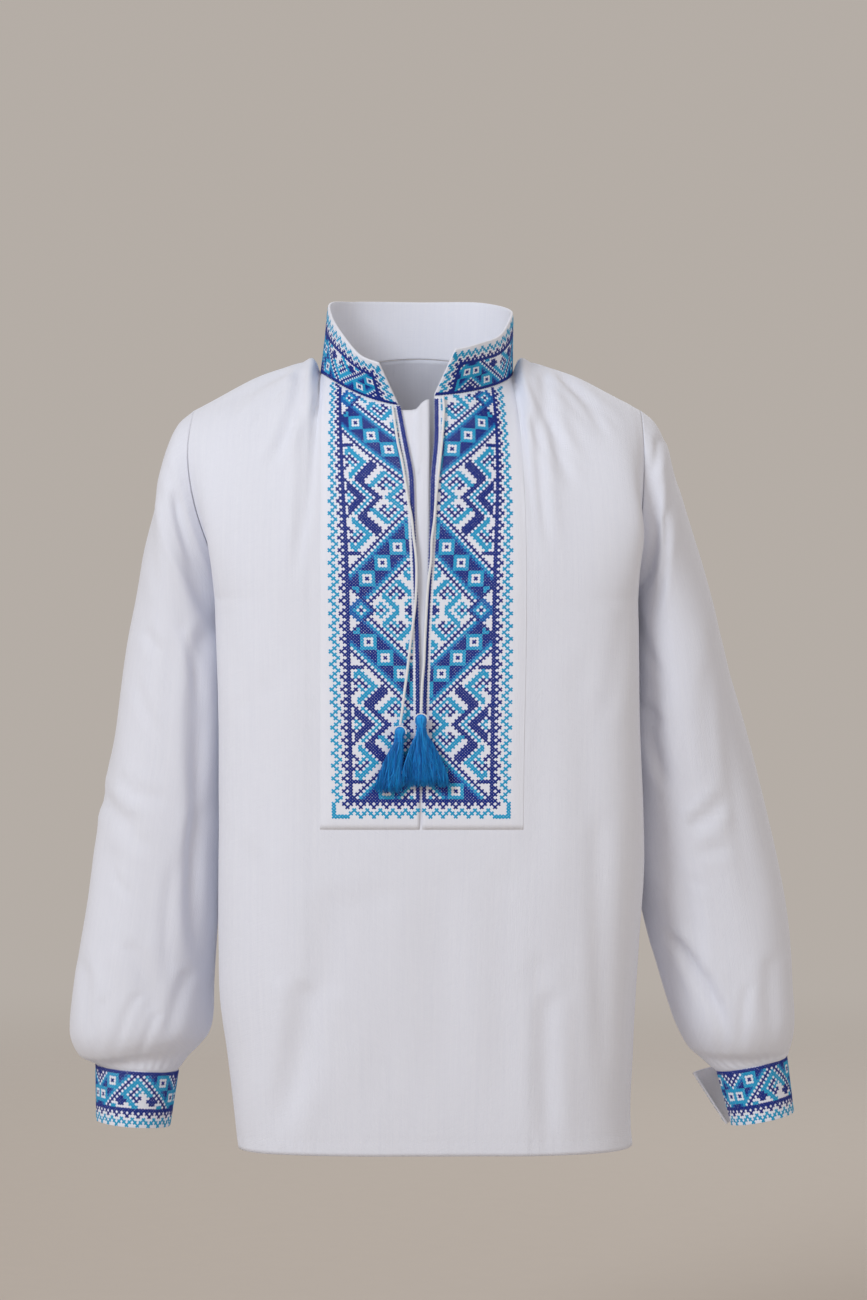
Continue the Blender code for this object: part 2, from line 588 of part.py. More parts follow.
def join_grids(grids):
    """Vertices and quads of one or more grids of points, with the points that they share merged."""
    points, quads, start = [], [], 0
    for grid, flip in grids:
        rows, cols = grid.shape[:2]
        number = start + np.arange(rows * cols).reshape(rows, cols)
        a, b, c, d = number[:-1, :-1], number[1:, :-1], number[1:, 1:], number[:-1, 1:]
        order = (d, c, b, a) if flip else (a, b, c, d)
        quads.append(np.stack(order, -1).reshape(-1, 4))
        points.append(grid.reshape(-1, 3))
        start += rows * cols
    points, quads = np.concatenate(points), np.concatenate(quads)
    _, first, same = np.unique(np.round(points, 4), axis=0, return_index=True, return_inverse=True)
    quads = same.reshape(-1)[quads]
    return points[first], quads


def vertex_normals(pieces):
    """Normals at the vertices of each piece, shared where pieces meet along a seam."""
    keys, pushes = [], []
    for verts, quads in pieces:
        across = verts[quads[:, 2]] - verts[quads[:, 0]]
        along = verts[quads[:, 3]] - verts[quads[:, 1]]
        face = np.cross(across, along)
        total = np.zeros_like(verts)
        for k in range(4):
            np.add.at(total, quads[:, k], face)
        keys.append(np.round(verts, 3))
        pushes.append(total)
    _, same = np.unique(np.concatenate(keys), axis=0, return_inverse=True)
    same = same.reshape(-1)
    shared = np.zeros((same.max() + 1, 3))
    np.add.at(shared, same, np.concatenate(pushes))
    normals = shared[same]
    normals /= np.maximum(np.linalg.norm(normals, axis=1, keepdims=True), 1e-12)
    sizes = np.cumsum([0] + [len(verts) for verts, _ in pieces])
    return [normals[a:b] for a, b in zip(sizes[:-1], sizes[1:])]


def rim_edges(quads):
    """Directed edges that only one quad uses."""
    edges = np.concatenate([quads[:, [k, (k + 1) % 4]] for k in range(4)])
    seen = {(a, b) for a, b in edges.tolist()}
    return [(a, b) for a, b in edges.tolist() if (b, a) not in seen]


def drawn_in(verts, quads, amount):
    """Vertices with the rim drawn in by an amount, square to the rim, to leave a gap at the seams."""
    middle = verts[quads].mean(1)
    inward, count = np.zeros_like(verts), np.zeros(len(verts))
    for k in range(4):
        np.add.at(inward, quads[:, k], middle)
        np.add.at(count, quads[:, k], 1)
    inward = inward / count[:, None] - verts
    along = np.zeros_like(verts)
    rim = rim_edges(quads)
    for a, b in rim:
        way = (verts[b] - verts[a]) / np.linalg.norm(verts[b] - verts[a])
        along[a] += way
        along[b] += way
    moved = verts.copy()
    for a in {v for edge in rim for v in edge}:
        size = np.linalg.norm(along[a])
        if size > 0.5:
            inward[a] -= along[a] / size * np.dot(inward[a], along[a] / size)
        moved[a] += inward[a] / np.linalg.norm(inward[a]) * amount
    return moved


def cloth_piece(name, verts, quads, normals, wall, colour):
    """A closed wall: the outer face as given, an inner face one wall in, and a rim between them."""
    inner = verts - normals * wall
    count = len(verts)
    halves = np.concatenate([quads[:, [0, 1, 2]], quads[:, [0, 2, 3]]])
    faces = [tuple(t) for t in halves.tolist()]
    faces += [(count + c, count + b, count + a) for a, b, c in halves.tolist()]
    faces += [(b, a, count + a, count + b) for a, b in rim_edges(quads)]
    return add_object(name, np.concatenate([verts, inner]) * MM, faces, colour)


def add_object(name, verts, faces, colour):
    """A mesh object with its own plain material."""
    mesh = bpy.data.meshes.new(name)
    mesh.from_pydata([tuple(v) for v in verts], [], faces)
    mesh.update()
    mesh.shade_smooth()
    mesh.set_sharp_from_angle(angle=0.9)
    piece = bpy.data.objects.new(name, mesh)
    bpy.context.scene.collection.objects.link(piece)
    piece.data.materials.append(plain_material(name, colour))
    return piece


def plain_material(name, colour):
    """A Principled material of one colour."""
    red, green, blue, rough = COLOURS[colour]
    material = bpy.data.materials.new(name)
    material.use_nodes = True
    shader = material.node_tree.nodes["Principled BSDF"]
    shader.inputs["Base Color"].default_value = (red, green, blue, 1.0)
    shader.inputs["Roughness"].default_value = rough
    shader.inputs["Metallic"].default_value = 0.0
    return material


# Pieces

def share_at(v, rows, names, name, inset):
    """Share of the front panel's width at which each of its rows meets a line down the panel."""
    keys = column(rows, names, "z")
    s = np.zeros_like(v)
    for _ in range(12):
        here = body_surface(s, v, -1)
        want = through(keys, column(rows, names, name), here[:, 2]) + inset
        slope = (body_surface(s + 1e-3, v, -1) - here)[:, 0] / 1e-3
        s = s + np.clip((want - here[:, 0]) / slope, -0.1, 0.1)
    return s


def chest_shares(v):
    """Columns of both chest halves for each row, from the outer edge to the slit."""
    shares = np.array(CHEST_SHARES)
    halves = []
    for side, name in ((-1, "left"), (1, "right")):
        outer = share_at(v, CHEST_EDGE_ROWS, CHEST_EDGE_COLUMNS, name, 0.0)[:, None]
        inner = share_at(v, SLIT_ROWS, SLIT_COLUMNS, name, 0.0)[:, None]
        halves.append(outer + (inner - outer) * shares)
    return halves


def front_grids():
    """The front panel as two halves, which join below the slit."""
    v = np.array(FRONT_V)
    left, right = chest_shares(v)
    middle = (left[:, -1] + right[:, -1]) / 2
    shut = body_surface(middle, v, -1)[:, 2] < SLIT_END_Z
    halves = []
    for side, chest in ((-1, left), (1, right)):
        chest[:, -1] = np.where(shut, middle, chest[:, -1] + side * SLIT_INSET)
        shoulder = np.broadcast_to(side * np.array(SHOULDER_SHARES), (len(v), len(SHOULDER_SHARES)))
        s = np.concatenate([shoulder, chest], 1)
        halves.append(s if side < 0 else s[:, ::-1])
    return [(body_point(s, v[:, None], -1), False) for s in halves]


def back_grids():
    """The back panel as one grid."""
    half = np.array(SHOULDER_SHARES + BACK_NECK_SHARES)
    s = np.concatenate([-half, half[-2::-1]])
    v = np.array(FRONT_V)
    return [(body_point(s[None, :], v[:, None], 1), True)]


def sleeve_grids(side):
    """A sleeve as one grid that closes round. Its first ring meets the panels' rows at the armhole."""
    above = np.array([v for v in FRONT_V if v <= 1.0])
    turn = np.concatenate([180.0 * above, 360.0 - 180.0 * above[-2::-1]])
    u = np.array(SLEEVE_U)
    return [(sleeve_point(turn[None, :], u[:, None], side), side > 0)]


def make_body_and_sleeves():
    """The two panels, with shared directions at their seams, and the two sleeves."""
    names = ("front_panel", "back_panel", "sleeve_left", "sleeve_right")
    grids = (front_grids(), back_grids(), sleeve_grids(-1), sleeve_grids(1))
    pieces = [join_grids(g) for g in grids]
    normals_of = vertex_normals(pieces[:2]) + vertex_normals(pieces[2:3]) + vertex_normals(pieces[3:])
    for name, (verts, quads), normals in zip(names, pieces, normals_of):
        verts = drawn_in(verts, quads, SEAM_GAP / MM / 2)
        cloth_piece(name, verts, quads, normals, PANEL_WALL / MM, "cloth")


def make_collar():
    """The stand collar, open at the front."""
    turn = np.linspace(COLLAR_ROWS[0][0], COLLAR_ROWS[-1][0], COLLAR_COLUMNS)
    grid = collar_point(turn[None, :], np.linspace(0.0, 1.0, COLLAR_LINES)[:, None])
    verts, quads = join_grids([(grid, False)])
    normals = vertex_normals([(verts, quads)])[0]
    cloth_piece("collar", verts, quads, normals, BAND_WALL / MM, "stitched")


def make_cuff(side):
    """One cuff, a band round the wrist whose ends lap or stand open."""
    name = side_name(side)
    start, end = CUFF_ENDS[name][:2]
    turn = np.linspace(start, end, CUFF_COLUMNS)
    grid = cuff_point(turn[None, :], np.linspace(0.0, 1.0, CUFF_LINES)[:, None], side)
    verts, quads = join_grids([(grid, False)])
    normals = vertex_normals([(verts, quads)])[0]
    cloth_piece("cuff_" + name, verts, quads, normals, BAND_WALL / MM, "stitched")


def make_chest_halves():
    """The two embroidered halves, laid on the front's own points beside the slit."""
    low_v = 1 + (CHEST_Z - CHEST_BOTTOM_Z) / (CHEST_Z - HEM_Z)
    v = np.array([CHEST_TOP_V] + [v for v in FRONT_V if CHEST_TOP_V < v < low_v] + [low_v])

    def surface(a, b):
        return body_surface(a, b, -1)

    for name, s in zip(("left", "right"), chest_shares(v)):
        s = s if name == "left" else s[:, ::-1]
        rows = np.broadcast_to(v[:, None], s.shape)
        out = outward_normal(surface, s, np.maximum(rows, 0.004), 1) * (LAID_GAP + LAID_WALL) / MM
        verts, quads = join_grids([(body_point(s, rows, -1) + out, False)])
        normals = vertex_normals([(verts, quads)])[0]
        cloth_piece("chest_" + name, verts, quads, normals, LAID_WALL / MM, "stitched")


def make_underlap():
    """The white strip behind the slit."""
    left, right, low = UNDERLAP
    x = np.broadcast_to(np.linspace(left, right, UNDERLAP_COLUMNS), (UNDERLAP_LINES, UNDERLAP_COLUMNS))
    top = neck_height(x) - UNDERLAP_DROP
    z = top + (low - top) * np.linspace(0.0, 1.0, UNDERLAP_LINES)[:, None]
    off = -(PANEL_WALL + UNDERLAP_GAP) / MM
    verts, quads = join_grids([(on_front(x, z, np.full_like(x, off)), False)])
    normals = vertex_normals([(verts, quads)])[0]
    cloth_piece("underlap", verts, quads, normals, LAID_WALL / MM, "cloth")


def make_cord(name):
    """One tie cord: a smooth curve through its route, lying on the chest, lifted where the route says so."""
    route = np.array(CORD_ROUTES[name])
    clear = (LAID_GAP + LAID_WALL + CORD_GAP + CORD_DIAMETER / 2) / MM
    knots = on_front(route[:, 0], route[:, 1], clear + route[:, 2])
    steps = np.concatenate([[0.0], np.cumsum(np.linalg.norm(np.diff(knots, axis=0), axis=1))])
    points = through(steps, knots, np.linspace(0.0, steps[-1], CORD_POINTS))
    curve = bpy.data.curves.new("tie_cord_" + name, "CURVE")
    curve.dimensions = "3D"
    curve.bevel_depth = CORD_DIAMETER / 2
    curve.bevel_resolution = 2
    curve.use_fill_caps = True
    spline = curve.splines.new("POLY")
    spline.points.add(CORD_POINTS - 1)
    for point, place in zip(spline.points, points * MM):
        point.co = (*place, 1.0)
    cord = bpy.data.objects.new("tie_cord_" + name, curve)
    bpy.context.scene.collection.objects.link(cord)
    curve.materials.append(plain_material("tie_cord_" + name, "cord"))


def make_tassel(name):
    """One tassel: a wound head over a fringe, as one solid of round sections."""
    sides = TASSEL_SIDES
    turn = np.linspace(0.0, 2 * np.pi, sides, endpoint=False)
    rings = []
    for z, x, y, half_width, half_depth in TASSEL_ROWS[name]:
        ring = (x + half_width * np.cos(turn), y + half_depth * np.sin(turn), z + 0 * turn)
        rings.append(np.stack(ring, -1))
    verts = np.concatenate(rings)
    count = len(rings)
    faces = [tuple(range(sides)), tuple(range(count * sides - 1, (count - 1) * sides - 1, -1))]
    for i in range(count - 1):
        for j in range(sides):
            k = (j + 1) % sides
            faces.append((i * sides + j, (i + 1) * sides + j, (i + 1) * sides + k, i * sides + k))
    add_object("tassel_" + name, verts * MM, faces, "tassel")


for old in list(bpy.data.objects):
    bpy.data.objects.remove(old, do_unlink=True)

make_body_and_sleeves()
make_collar()
for cuff_side in (-1, 1):
    make_cuff(cuff_side)
make_chest_halves()
make_underlap()
for half in ("left", "right"):
    make_cord(half)
    make_tassel(half)
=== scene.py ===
# Vyshyvanka shirt: its finished look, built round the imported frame.
# Metres, +Z up, +X to the right of someone who faces the shirt, and the front faces -Y.
# Cuts and places below are in millimetres, and every mesh is scaled to metres when it is made.
# Left and right are those of someone who faces the shirt: side -1 is the left.
import math

import bpy
import numpy as np
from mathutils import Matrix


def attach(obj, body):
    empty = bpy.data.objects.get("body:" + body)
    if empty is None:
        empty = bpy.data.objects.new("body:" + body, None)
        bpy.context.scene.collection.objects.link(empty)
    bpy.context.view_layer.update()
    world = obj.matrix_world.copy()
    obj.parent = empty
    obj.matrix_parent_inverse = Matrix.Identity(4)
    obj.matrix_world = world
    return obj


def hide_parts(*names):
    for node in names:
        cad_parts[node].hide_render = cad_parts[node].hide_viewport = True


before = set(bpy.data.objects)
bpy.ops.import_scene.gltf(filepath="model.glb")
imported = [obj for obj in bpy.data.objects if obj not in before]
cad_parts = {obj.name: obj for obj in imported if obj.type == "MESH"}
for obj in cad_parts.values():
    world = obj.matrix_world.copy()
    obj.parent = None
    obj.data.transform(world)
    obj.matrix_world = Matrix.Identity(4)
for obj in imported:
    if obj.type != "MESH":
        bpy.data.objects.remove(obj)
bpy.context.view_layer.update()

mm = 0.001
sideNames = {-1: "left", 1: "right"}


# Curves and noise

# A cubic through rows given at rising keys, with the slope at each row that its neighbours give.
def through(keys, values, at):
    keys = np.asarray(keys, float)
    values = np.asarray(values, float)
    at = np.asarray(at, float)
    slopes = np.gradient(values, keys, axis=0)
    k = np.clip(np.searchsorted(keys, at, side="right") - 1, 0, len(keys) - 2)
    span = keys[k + 1] - keys[k]
    t = np.clip((at - keys[k]) / span, 0.0, 1.0)
    if values.ndim > 1:
        t = t[..., None]
        span = span[..., None]
    start = (1 + 2 * t) * (1 - t) ** 2 * values[k] + t * (1 - t) ** 2 * span * slopes[k]
    end = t * t * (3 - 2 * t) * values[k + 1] + t * t * (t - 1) * span * slopes[k + 1]
    return start + end


# 0 below 0, 1 above 1, and 3x² - 2x³ between.
def ease(x):
    x = np.clip(x, 0.0, 1.0)
    return x * x * (3 - 2 * x)


# A hump of height 1 at 0 that falls away as exp(-x²).
def hump(x):
    return np.exp(-x * x)


# Sum of sines in random directions, about -1 to 1: a and b are places over the size of the undulations.
def softNoise(a, b, seed, waves=12):
    draw = np.random.default_rng(seed)
    total = 0.0
    for _ in range(waves):
        turn, size, phase = draw.uniform(0, 2 * np.pi), draw.uniform(0.6, 1.5), draw.uniform(0, 2 * np.pi)
        total = total + np.sin(2 * np.pi * size * (a * np.cos(turn) + b * np.sin(turn)) + phase)
    return total / np.sqrt(waves)


# Sum of creases: each is a soft trough between two low ridges along a bent line, faded at its ends.
# Columns of a crease: x0, z0, x1, z1, bend, width, depth.
def creases(x, z, rows):
    total = np.zeros_like(x)
    for x0, z0, x1, z1, bend, width, depth in rows:
        length = np.hypot(x1 - x0, z1 - z0)
        along = ((x - x0) * (x1 - x0) + (z - z0) * (z1 - z0)) / length ** 2
        off = ((x - x0) * (z1 - z0) - (z - z0) * (x1 - x0)) / length - bend * 4 * along * (1 - along)
        across = 2 * off / width
        reach = ease(along / 0.12) * ease((1.0 - along) / 0.35)
        total += depth * (0.45 * (hump(across - 1.7) + hump(across + 1.7)) - hump(across)) * reach
    return total


# Unit normal of a surface of two numbers: the cross product of small steps of both.
def normalOf(surface, a, b, flip):
    step = 0.004
    along = surface(a + step, b) - surface(a - step, b)
    down = surface(a, b + step) - surface(a, b - step)
    normal = np.cross(down, along) * flip
    return normal / np.maximum(np.linalg.norm(normal, axis=-1, keepdims=True), 1e-12)


# Body of the shirt

bodyCut = {
    "chestZ": -158.0,
    "hemZ": -545.0,
    "middleX": 4.0,
    "sideY": 12.0,  # side seams, a little behind the middle
    "squareness": {-1: 3.8, 1: 2.9},  # of the section at the front and at the back
    "dentSharpness": 7.0,
    # z, left, right, front, back, how deep the left and the right sleeve dent it
    "sections": (
        (-545.0, -125.5, 154.5, 98.0, 97.0, 0.13, 0.02),
        (-530.0, -127.4, 153.2, 98.5, 97.0, 0.12, 0.02),
        (-478.0, -133.4, 154.6, 99.0, 96.0, 0.10, 0.03),
        (-440.0, -138.6, 156.0, 99.5, 95.0, 0.10, 0.05),
        (-400.0, -139.5, 157.5, 99.5, 94.0, 0.10, 0.08),
        (-347.0, -139.0, 160.8, 99.5, 93.0, 0.12, 0.11),
        (-311.0, -138.6, 160.0, 99.0, 92.0, 0.13, 0.145),
        (-230.0, -139.0, 156.5, 98.0, 90.0, 0.15, 0.185),
        (-158.0, -142.5, 156.0, 95.5, 88.0, 0.15, 0.185),
    ),
    # share of the way from the neck to the tip, z
    "shoulder": (
        (0.0, 5.0), (0.035, 13.5), (0.15, 13.2), (0.3, 9.2),
        (0.5, 2.8), (0.7, -6.5), (0.88, -16.0), (1.0, -21.5),
    ),
    "shoulderY": 3.0,
    "neckX": 69.0,
    "neckSideZ": 5.0,
    "neckFrontY": 69.0,
    "neckBackY": 57.0,
    "neckBackRise": 15.0,
    "neckDrop": {-1: (28.0, 2.0), 1: (21.0, 1.15)},  # drop and sharpness
    "neckShare": 0.4,
    "neckTurn": 26.0,
    "dropFullness": 1.05,
    "armholePull": 0.5,
    "tipZ": -21.5,
    "armholeReach": 54.0,
    # x of the armhole seam at each quarter of its height
    "armhole": {-1: (-160.0, -162.0, -157.0, -146.0), 1: (161.0, 161.5, 160.0, 157.0)},
}

frontFolds = (
    (-82.0, 8.0, -106.0, -72.0, -5.0, 9.0, 2.6),
    (-78.0, -16.0, -84.0, -150.0, -3.0, 9.0, 2.0),
    (-90.0, 8.0, -138.0, -32.0, 5.0, 9.0, 1.8),
    (90.0, 8.0, 112.0, -86.0, 5.0, 10.0, 2.6),
    (86.0, -20.0, 93.0, -130.0, 3.0, 9.0, 2.0),
    (98.0, 8.0, 136.0, -50.0, -4.0, 9.0, 2.0),
    (92.0, -428.0, 94.0, -552.0, 2.0, 15.0, 1.9),
    (-76.0, -420.0, -98.0, -540.0, -4.0, 20.0, 2.6),
)
backFolds = (
    (-58.0, 6.0, -82.0, -110.0, -4.0, 10.0, 2.4),
    (-20.0, 14.0, -28.0, -130.0, -2.0, 10.0, 1.8),
    (24.0, 14.0, 30.0, -140.0, 3.0, 10.0, 2.0),
    (60.0, 6.0, 88.0, -120.0, 4.0, 10.0, 2.4),
    (-70.0, -300.0, -84.0, -545.0, -4.0, 20.0, 4.0),
    (-6.0, -340.0, -2.0, -545.0, 3.0, 22.0, 3.4),
    (74.0, -280.0, 90.0, -545.0, 4.0, 20.0, 4.2),
)
# Finer creases, drawn only here
frontCreases = (
    (-71.0, 10.0, -97.0, -52.0, -4.0, 5.0, 0.9),
    (-76.0, 8.0, -120.0, -44.0, 4.0, 5.0, 0.8),
    (-86.0, 9.0, -150.0, -28.0, 3.0, 6.0, 0.7),
    (-71.0, -10.0, -79.0, -132.0, -2.0, 5.0, 0.8),
    (71.0, 6.0, 103.0, -78.0, 4.0, 5.0, 0.9),
    (77.0, 6.0, 122.0, -74.0, 4.0, 6.0, 0.9),
    (86.0, 6.0, 130.0, -50.0, -3.0, 6.0, 0.8),
    (100.0, 2.0, 148.0, -44.0, -3.0, 7.0, 0.9),
    (73.0, -14.0, 84.0, -120.0, 2.0, 5.0, 0.8),
    (-134.0, -160.0, -112.0, -250.0, 4.0, 14.0, 0.7),
    (146.0, -162.0, 124.0, -260.0, -4.0, 14.0, 0.7),
    (-49.0, -352.0, -84.0, -520.0, -4.0, 30.0, 1.9),
    (-30.0, -350.0, -52.0, -500.0, -3.0, 22.0, 0.8),
    (-122.0, -222.0, -118.0, -320.0, 2.0, 18.0, 0.7),
    (84.0, -400.0, 89.0, -540.0, 2.0, 18.0, 0.9),
    (-104.0, -200.0, -110.0, -420.0, 3.0, 22.0, 1.1),
    (114.0, -190.0, 120.0, -410.0, -3.0, 24.0, 1.2),
    (60.0, -335.0, 68.0, -520.0, 3.0, 26.0, 0.9),
    (20.0, -340.0, 12.0, -530.0, -3.0, 30.0, 0.8),
    (-18.0, -350.0, -27.0, -530.0, 2.0, 26.0, 0.7),
    (128.0, -300.0, 132.0, -520.0, 2.0, 14.0, 1.2),
    (-116.0, -320.0, -112.0, -520.0, -2.0, 16.0, 1.2),
)
backCreases = (
    (-40.0, 12.0, -52.0, -90.0, -3.0, 7.0, 1.0),
    (2.0, 16.0, 4.0, -110.0, 2.0, 8.0, 0.9),
    (43.0, 12.0, 58.0, -96.0, 3.0, 7.0, 1.0),
    (-132.0, -160.0, -70.0, -238.0, 6.0, 13.0, 1.6),
    (142.0, -162.0, 80.0, -250.0, -6.0, 13.0, 1.6),
    (-100.0, -210.0, -112.0, -470.0, 4.0, 24.0, 1.4),
    (108.0, -220.0, 122.0, -480.0, -4.0, 24.0, 1.4),
    (-36.0, -250.0, -44.0, -500.0, 3.0, 26.0, 1.2),
    (34.0, -260.0, 40.0, -520.0, -3.0, 26.0, 1.2),
    (120.0, -330.0, 126.0, -545.0, 3.0, 16.0, 1.6),
    (-110.0, -350.0, -104.0, -545.0, -3.0, 16.0, 1.6),
)


# Across and depth of a rounded section of size 1: a turn of 0 is its middle and 90 degrees its side.
def sectionOutline(turn, square, dent):
    across = np.sin(np.radians(turn))
    depth = np.cos(np.radians(turn))
    reach = (np.abs(across) ** square + np.abs(depth) ** square) ** (-1.0 / square)
    across = across * reach * (1 - dent * np.abs(across) ** bodyCut["dentSharpness"])
    return across, depth * reach


# Widest reach of the front's section for each depth of the dent
dentSteps = np.linspace(0.0, 0.2, 41)
dentTurns = np.linspace(30.0, 90.0, 61)
widestAt = sectionOutline(dentTurns, bodyCut["squareness"][-1], dentSteps[:, None])[0].max(-1)


# Point of the body below the chest. Face is -1 for the front and 1 for the back.
def bodySection(turn, z, face):
    z = np.asarray(z, float)
    rows = np.array(bodyCut["sections"])
    left, right, front, back, dentLeft, dentRight = np.moveaxis(through(rows[:, 0], rows[:, 1:], z), -1, 0)
    dent = np.where(turn < 0, dentLeft, dentRight)
    across, depth = sectionOutline(turn, bodyCut["squareness"][face], dent)
    half = np.where(turn < 0, bodyCut["middleX"] - left, right - bodyCut["middleX"])
    x = bodyCut["middleX"] + half / np.interp(dent, dentSteps, widestAt) * across
    reach = -front - bodyCut["sideY"] if face < 0 else back - bodyCut["sideY"]
    y = bodyCut["sideY"] + depth * reach
    return np.stack(np.broadcast_arrays(x, y + 0 * x, z + 0 * x), -1)


# Turn of the body section under each share of the panel's half width.
def turnBelow(s):
    neck, turn = bodyCut["neckShare"], bodyCut["neckTurn"]
    share = np.clip((np.abs(s) - neck) / (1 - neck), 0.0, 1.0)
    inner = turn * np.minimum(np.abs(s), neck) / neck
    return np.sign(s) * (inner + (90.0 - turn) * (0.35 * share + 0.65 * share ** 3))


# Point of the collar seam: a turn of 0 is the back, 180 the front.
def neckline(turn, side):
    forward = -np.cos(np.radians(turn))
    drop, sharp = bodyCut["neckDrop"][side]
    x = side * bodyCut["neckX"] * np.sin(np.radians(turn))
    y = bodyCut["shoulderY"] - forward * np.where(forward > 0, bodyCut["neckFrontY"], bodyCut["neckBackY"])
    zFront = bodyCut["neckSideZ"] - drop * np.abs(forward) ** sharp
    zBack = bodyCut["neckSideZ"] + bodyCut["neckBackRise"] * forward ** 2
    return np.stack([x, y, np.where(forward > 0, zFront, zBack)], -1)


# Sideways place of the armhole seam at each share of its height.
def armholeX(share, side):
    underarm = bodySection(np.array(90.0 * side), np.array(bodyCut["chestZ"]), -1)[0]
    return through(np.linspace(0.0, 1.0, 5), bodyCut["armhole"][side] + (underarm,), share)


# Point of the armhole seam: a turn of 0 is the shoulder tip, 90 the front, 180 the underarm.
def armhole(turn, side):
    turn = np.radians(turn)
    share = (1 - np.cos(turn)) / 2
    z = bodyCut["tipZ"] + (bodyCut["chestZ"] - bodyCut["tipZ"]) * share
    yMiddle = bodyCut["shoulderY"] + (bodyCut["sideY"] - bodyCut["shoulderY"]) * share
    return np.stack([armholeX(share, side), yMiddle - bodyCut["armholeReach"] * np.sin(turn), z], -1)


# Top edge of a panel, from one shoulder tip over the neck to the other.
def topEdge(s, face):
    neck = bodyCut["neckShare"]
    side = np.where(s < 0, -1, 1)
    share = np.clip((np.abs(s) - neck) / (1 - neck), 0.0, 1.0)
    tip = np.where(s < 0, -armholeX(0.0, -1), armholeX(0.0, 1))
    rows = np.array(bodyCut["shoulder"])
    z = through(rows[:, 0], rows[:, 1], share)
    x = side * (bodyCut["neckX"] + (tip - bodyCut["neckX"]) * share)
    turn = 90.0 * np.minimum(np.abs(s) / neck, 1.0)
    turn = 180.0 - turn if face < 0 else turn
    seam = np.where((s < 0)[..., None], neckline(turn, -1), neckline(turn, 1))
    shoulder = np.stack([x, bodyCut["shoulderY"] + 0 * share, z], -1)
    return np.where((np.abs(s) > neck)[..., None], shoulder, seam)


# The panel before it is drawn to the armhole: a smooth drop from its top, then the body sections.
def plainBody(s, v, face):
    turn = turnBelow(s)
    t = np.clip(v, 0.0, 1.0)[..., None]
    zBelow = bodyCut["chestZ"] + (bodyCut["hemZ"] - bodyCut["chestZ"]) * np.clip(v - 1.0, 0.0, 1.0)
    below = bodySection(turn, zBelow, face)
    chest = bodySection(turn, np.full_like(s, bodyCut["chestZ"]), face)
    downward = bodySection(turn, np.full_like(s, bodyCut["chestZ"] - 1.0), face) - chest
    top = topEdge(s, face)
    reach = bodyCut["dropFullness"] * np.linalg.norm(chest - top, axis=-1, keepdims=True)
    sideShare = np.minimum(np.abs(s) / bodyCut["neckShare"], 1.0) ** 1.5
    leave = np.stack([0 * s, face * (0.45 + 0.52 * sideShare), 0.62 * sideShare - 0.9], -1)
    above = (1 + 2 * t) * (1 - t) ** 2 * top + t * (1 - t) ** 2 * reach * leave
    above = above + t * t * (3 - 2 * t) * chest + t * t * (t - 1) * reach * downward
    return np.where((v > 1.0)[..., None], below, above)


# Point of a panel: s runs from side seam to side seam, -1 to 1, and v is 0 at the top, 1 at the chest
# and 2 at the hem. The last stretch before each side is drawn out to the armhole seam.
def bodySurface(s, v, face):
    s, v = np.broadcast_arrays(np.asarray(s, float), np.asarray(v, float))
    above = np.clip(v, 0.0, 1.0)
    turn = 180.0 * above if face < 0 else 360.0 - 180.0 * above
    point = plainBody(s, v, face)
    pull = bodyCut["armholePull"]
    for side in (-1, 1):
        gap = armhole(turn, side) - plainBody(np.full_like(s, float(side)), above, face)
        point = point + gap * (ease((side * s - pull) / (1 - pull)) ** 2)[..., None]
    return point


clothShape = {
    "undulation": 0.75,  # broad softness of the panels, in millimetres
    "ripple": 0.22,
    "seamRidge": 0.32,
    "hemBand": 10.0,
    "hemGroove": 0.34,
    "pucker": 0.45,
    "backGather": 0.5,
    "calmHalf": 78.0,  # the embroidered part of the front lies flatter: its half width, its foot and its fade
    "calmZ": -334.0,
    "calmFade": 16.0,
    "halfRound": 202.0,  # from the middle of a panel to its side seam
}


# The panels' relief in millimetres: broad undulations, creases, seam ridges, gathers and the stitched hem.
def bodyRelief(s, v, point, face):
    x, z = point[..., 0], point[..., 2]
    calm = 1.0
    if face < 0:  # the embroidered part lies flatter
        beside = ease((clothShape["calmHalf"] - np.abs(x - bodyCut["middleX"])) / clothShape["calmFade"])
        calm = 1 - 0.85 * beside * ease((z - clothShape["calmZ"]) / clothShape["calmFade"])
    seam = (1 - np.abs(s)) * clothShape["halfRound"]
    edge = ease((1 - np.abs(s)) / 0.07) * ease(v / 0.05)
    relief = clothShape["undulation"] * softNoise(x / 150.0, z / 420.0, 5 + face)
    relief = relief + clothShape["ripple"] * softNoise(x / 46.0, z / 110.0, 11 + face)
    relief = relief + creases(x, z, frontCreases if face < 0 else backCreases)
    relief = relief * edge * calm
    side = ease((v - 1.0) / 0.05)
    relief = relief + clothShape["seamRidge"] * hump((seam - 4.0) / 2.0) * side
    above = (2.0 - v) * (bodyCut["chestZ"] - bodyCut["hemZ"])
    drawn = 0.35 + 0.65 * hump((x + 100.0) / 28.0) * (face < 0)
    wave = np.sin(2 * np.pi * (x / 8.3 + 0.6 * softNoise(x / 60.0, 0.0, 23, 5)))
    band = clothShape["hemBand"]
    relief = relief - clothShape["hemGroove"] * hump((above - band) / 1.1)
    relief = relief + clothShape["pucker"] * drawn * wave * hump((above - band + 2.0) / 6.0) * edge
    if face > 0:
        turn = np.arcsin(np.clip(x / 72.0, -1.0, 1.0))
        gather = np.sin(2 * np.pi * (turn * 7.5 + 0.35 * softNoise(x / 40.0, z / 300.0, 31, 6)))
        reach = ease(v / 0.015) * hump(v / 0.22) * ease((0.46 - np.abs(s)) / 0.08)
        relief = relief + clothShape["backGather"] * gather * reach
    return relief


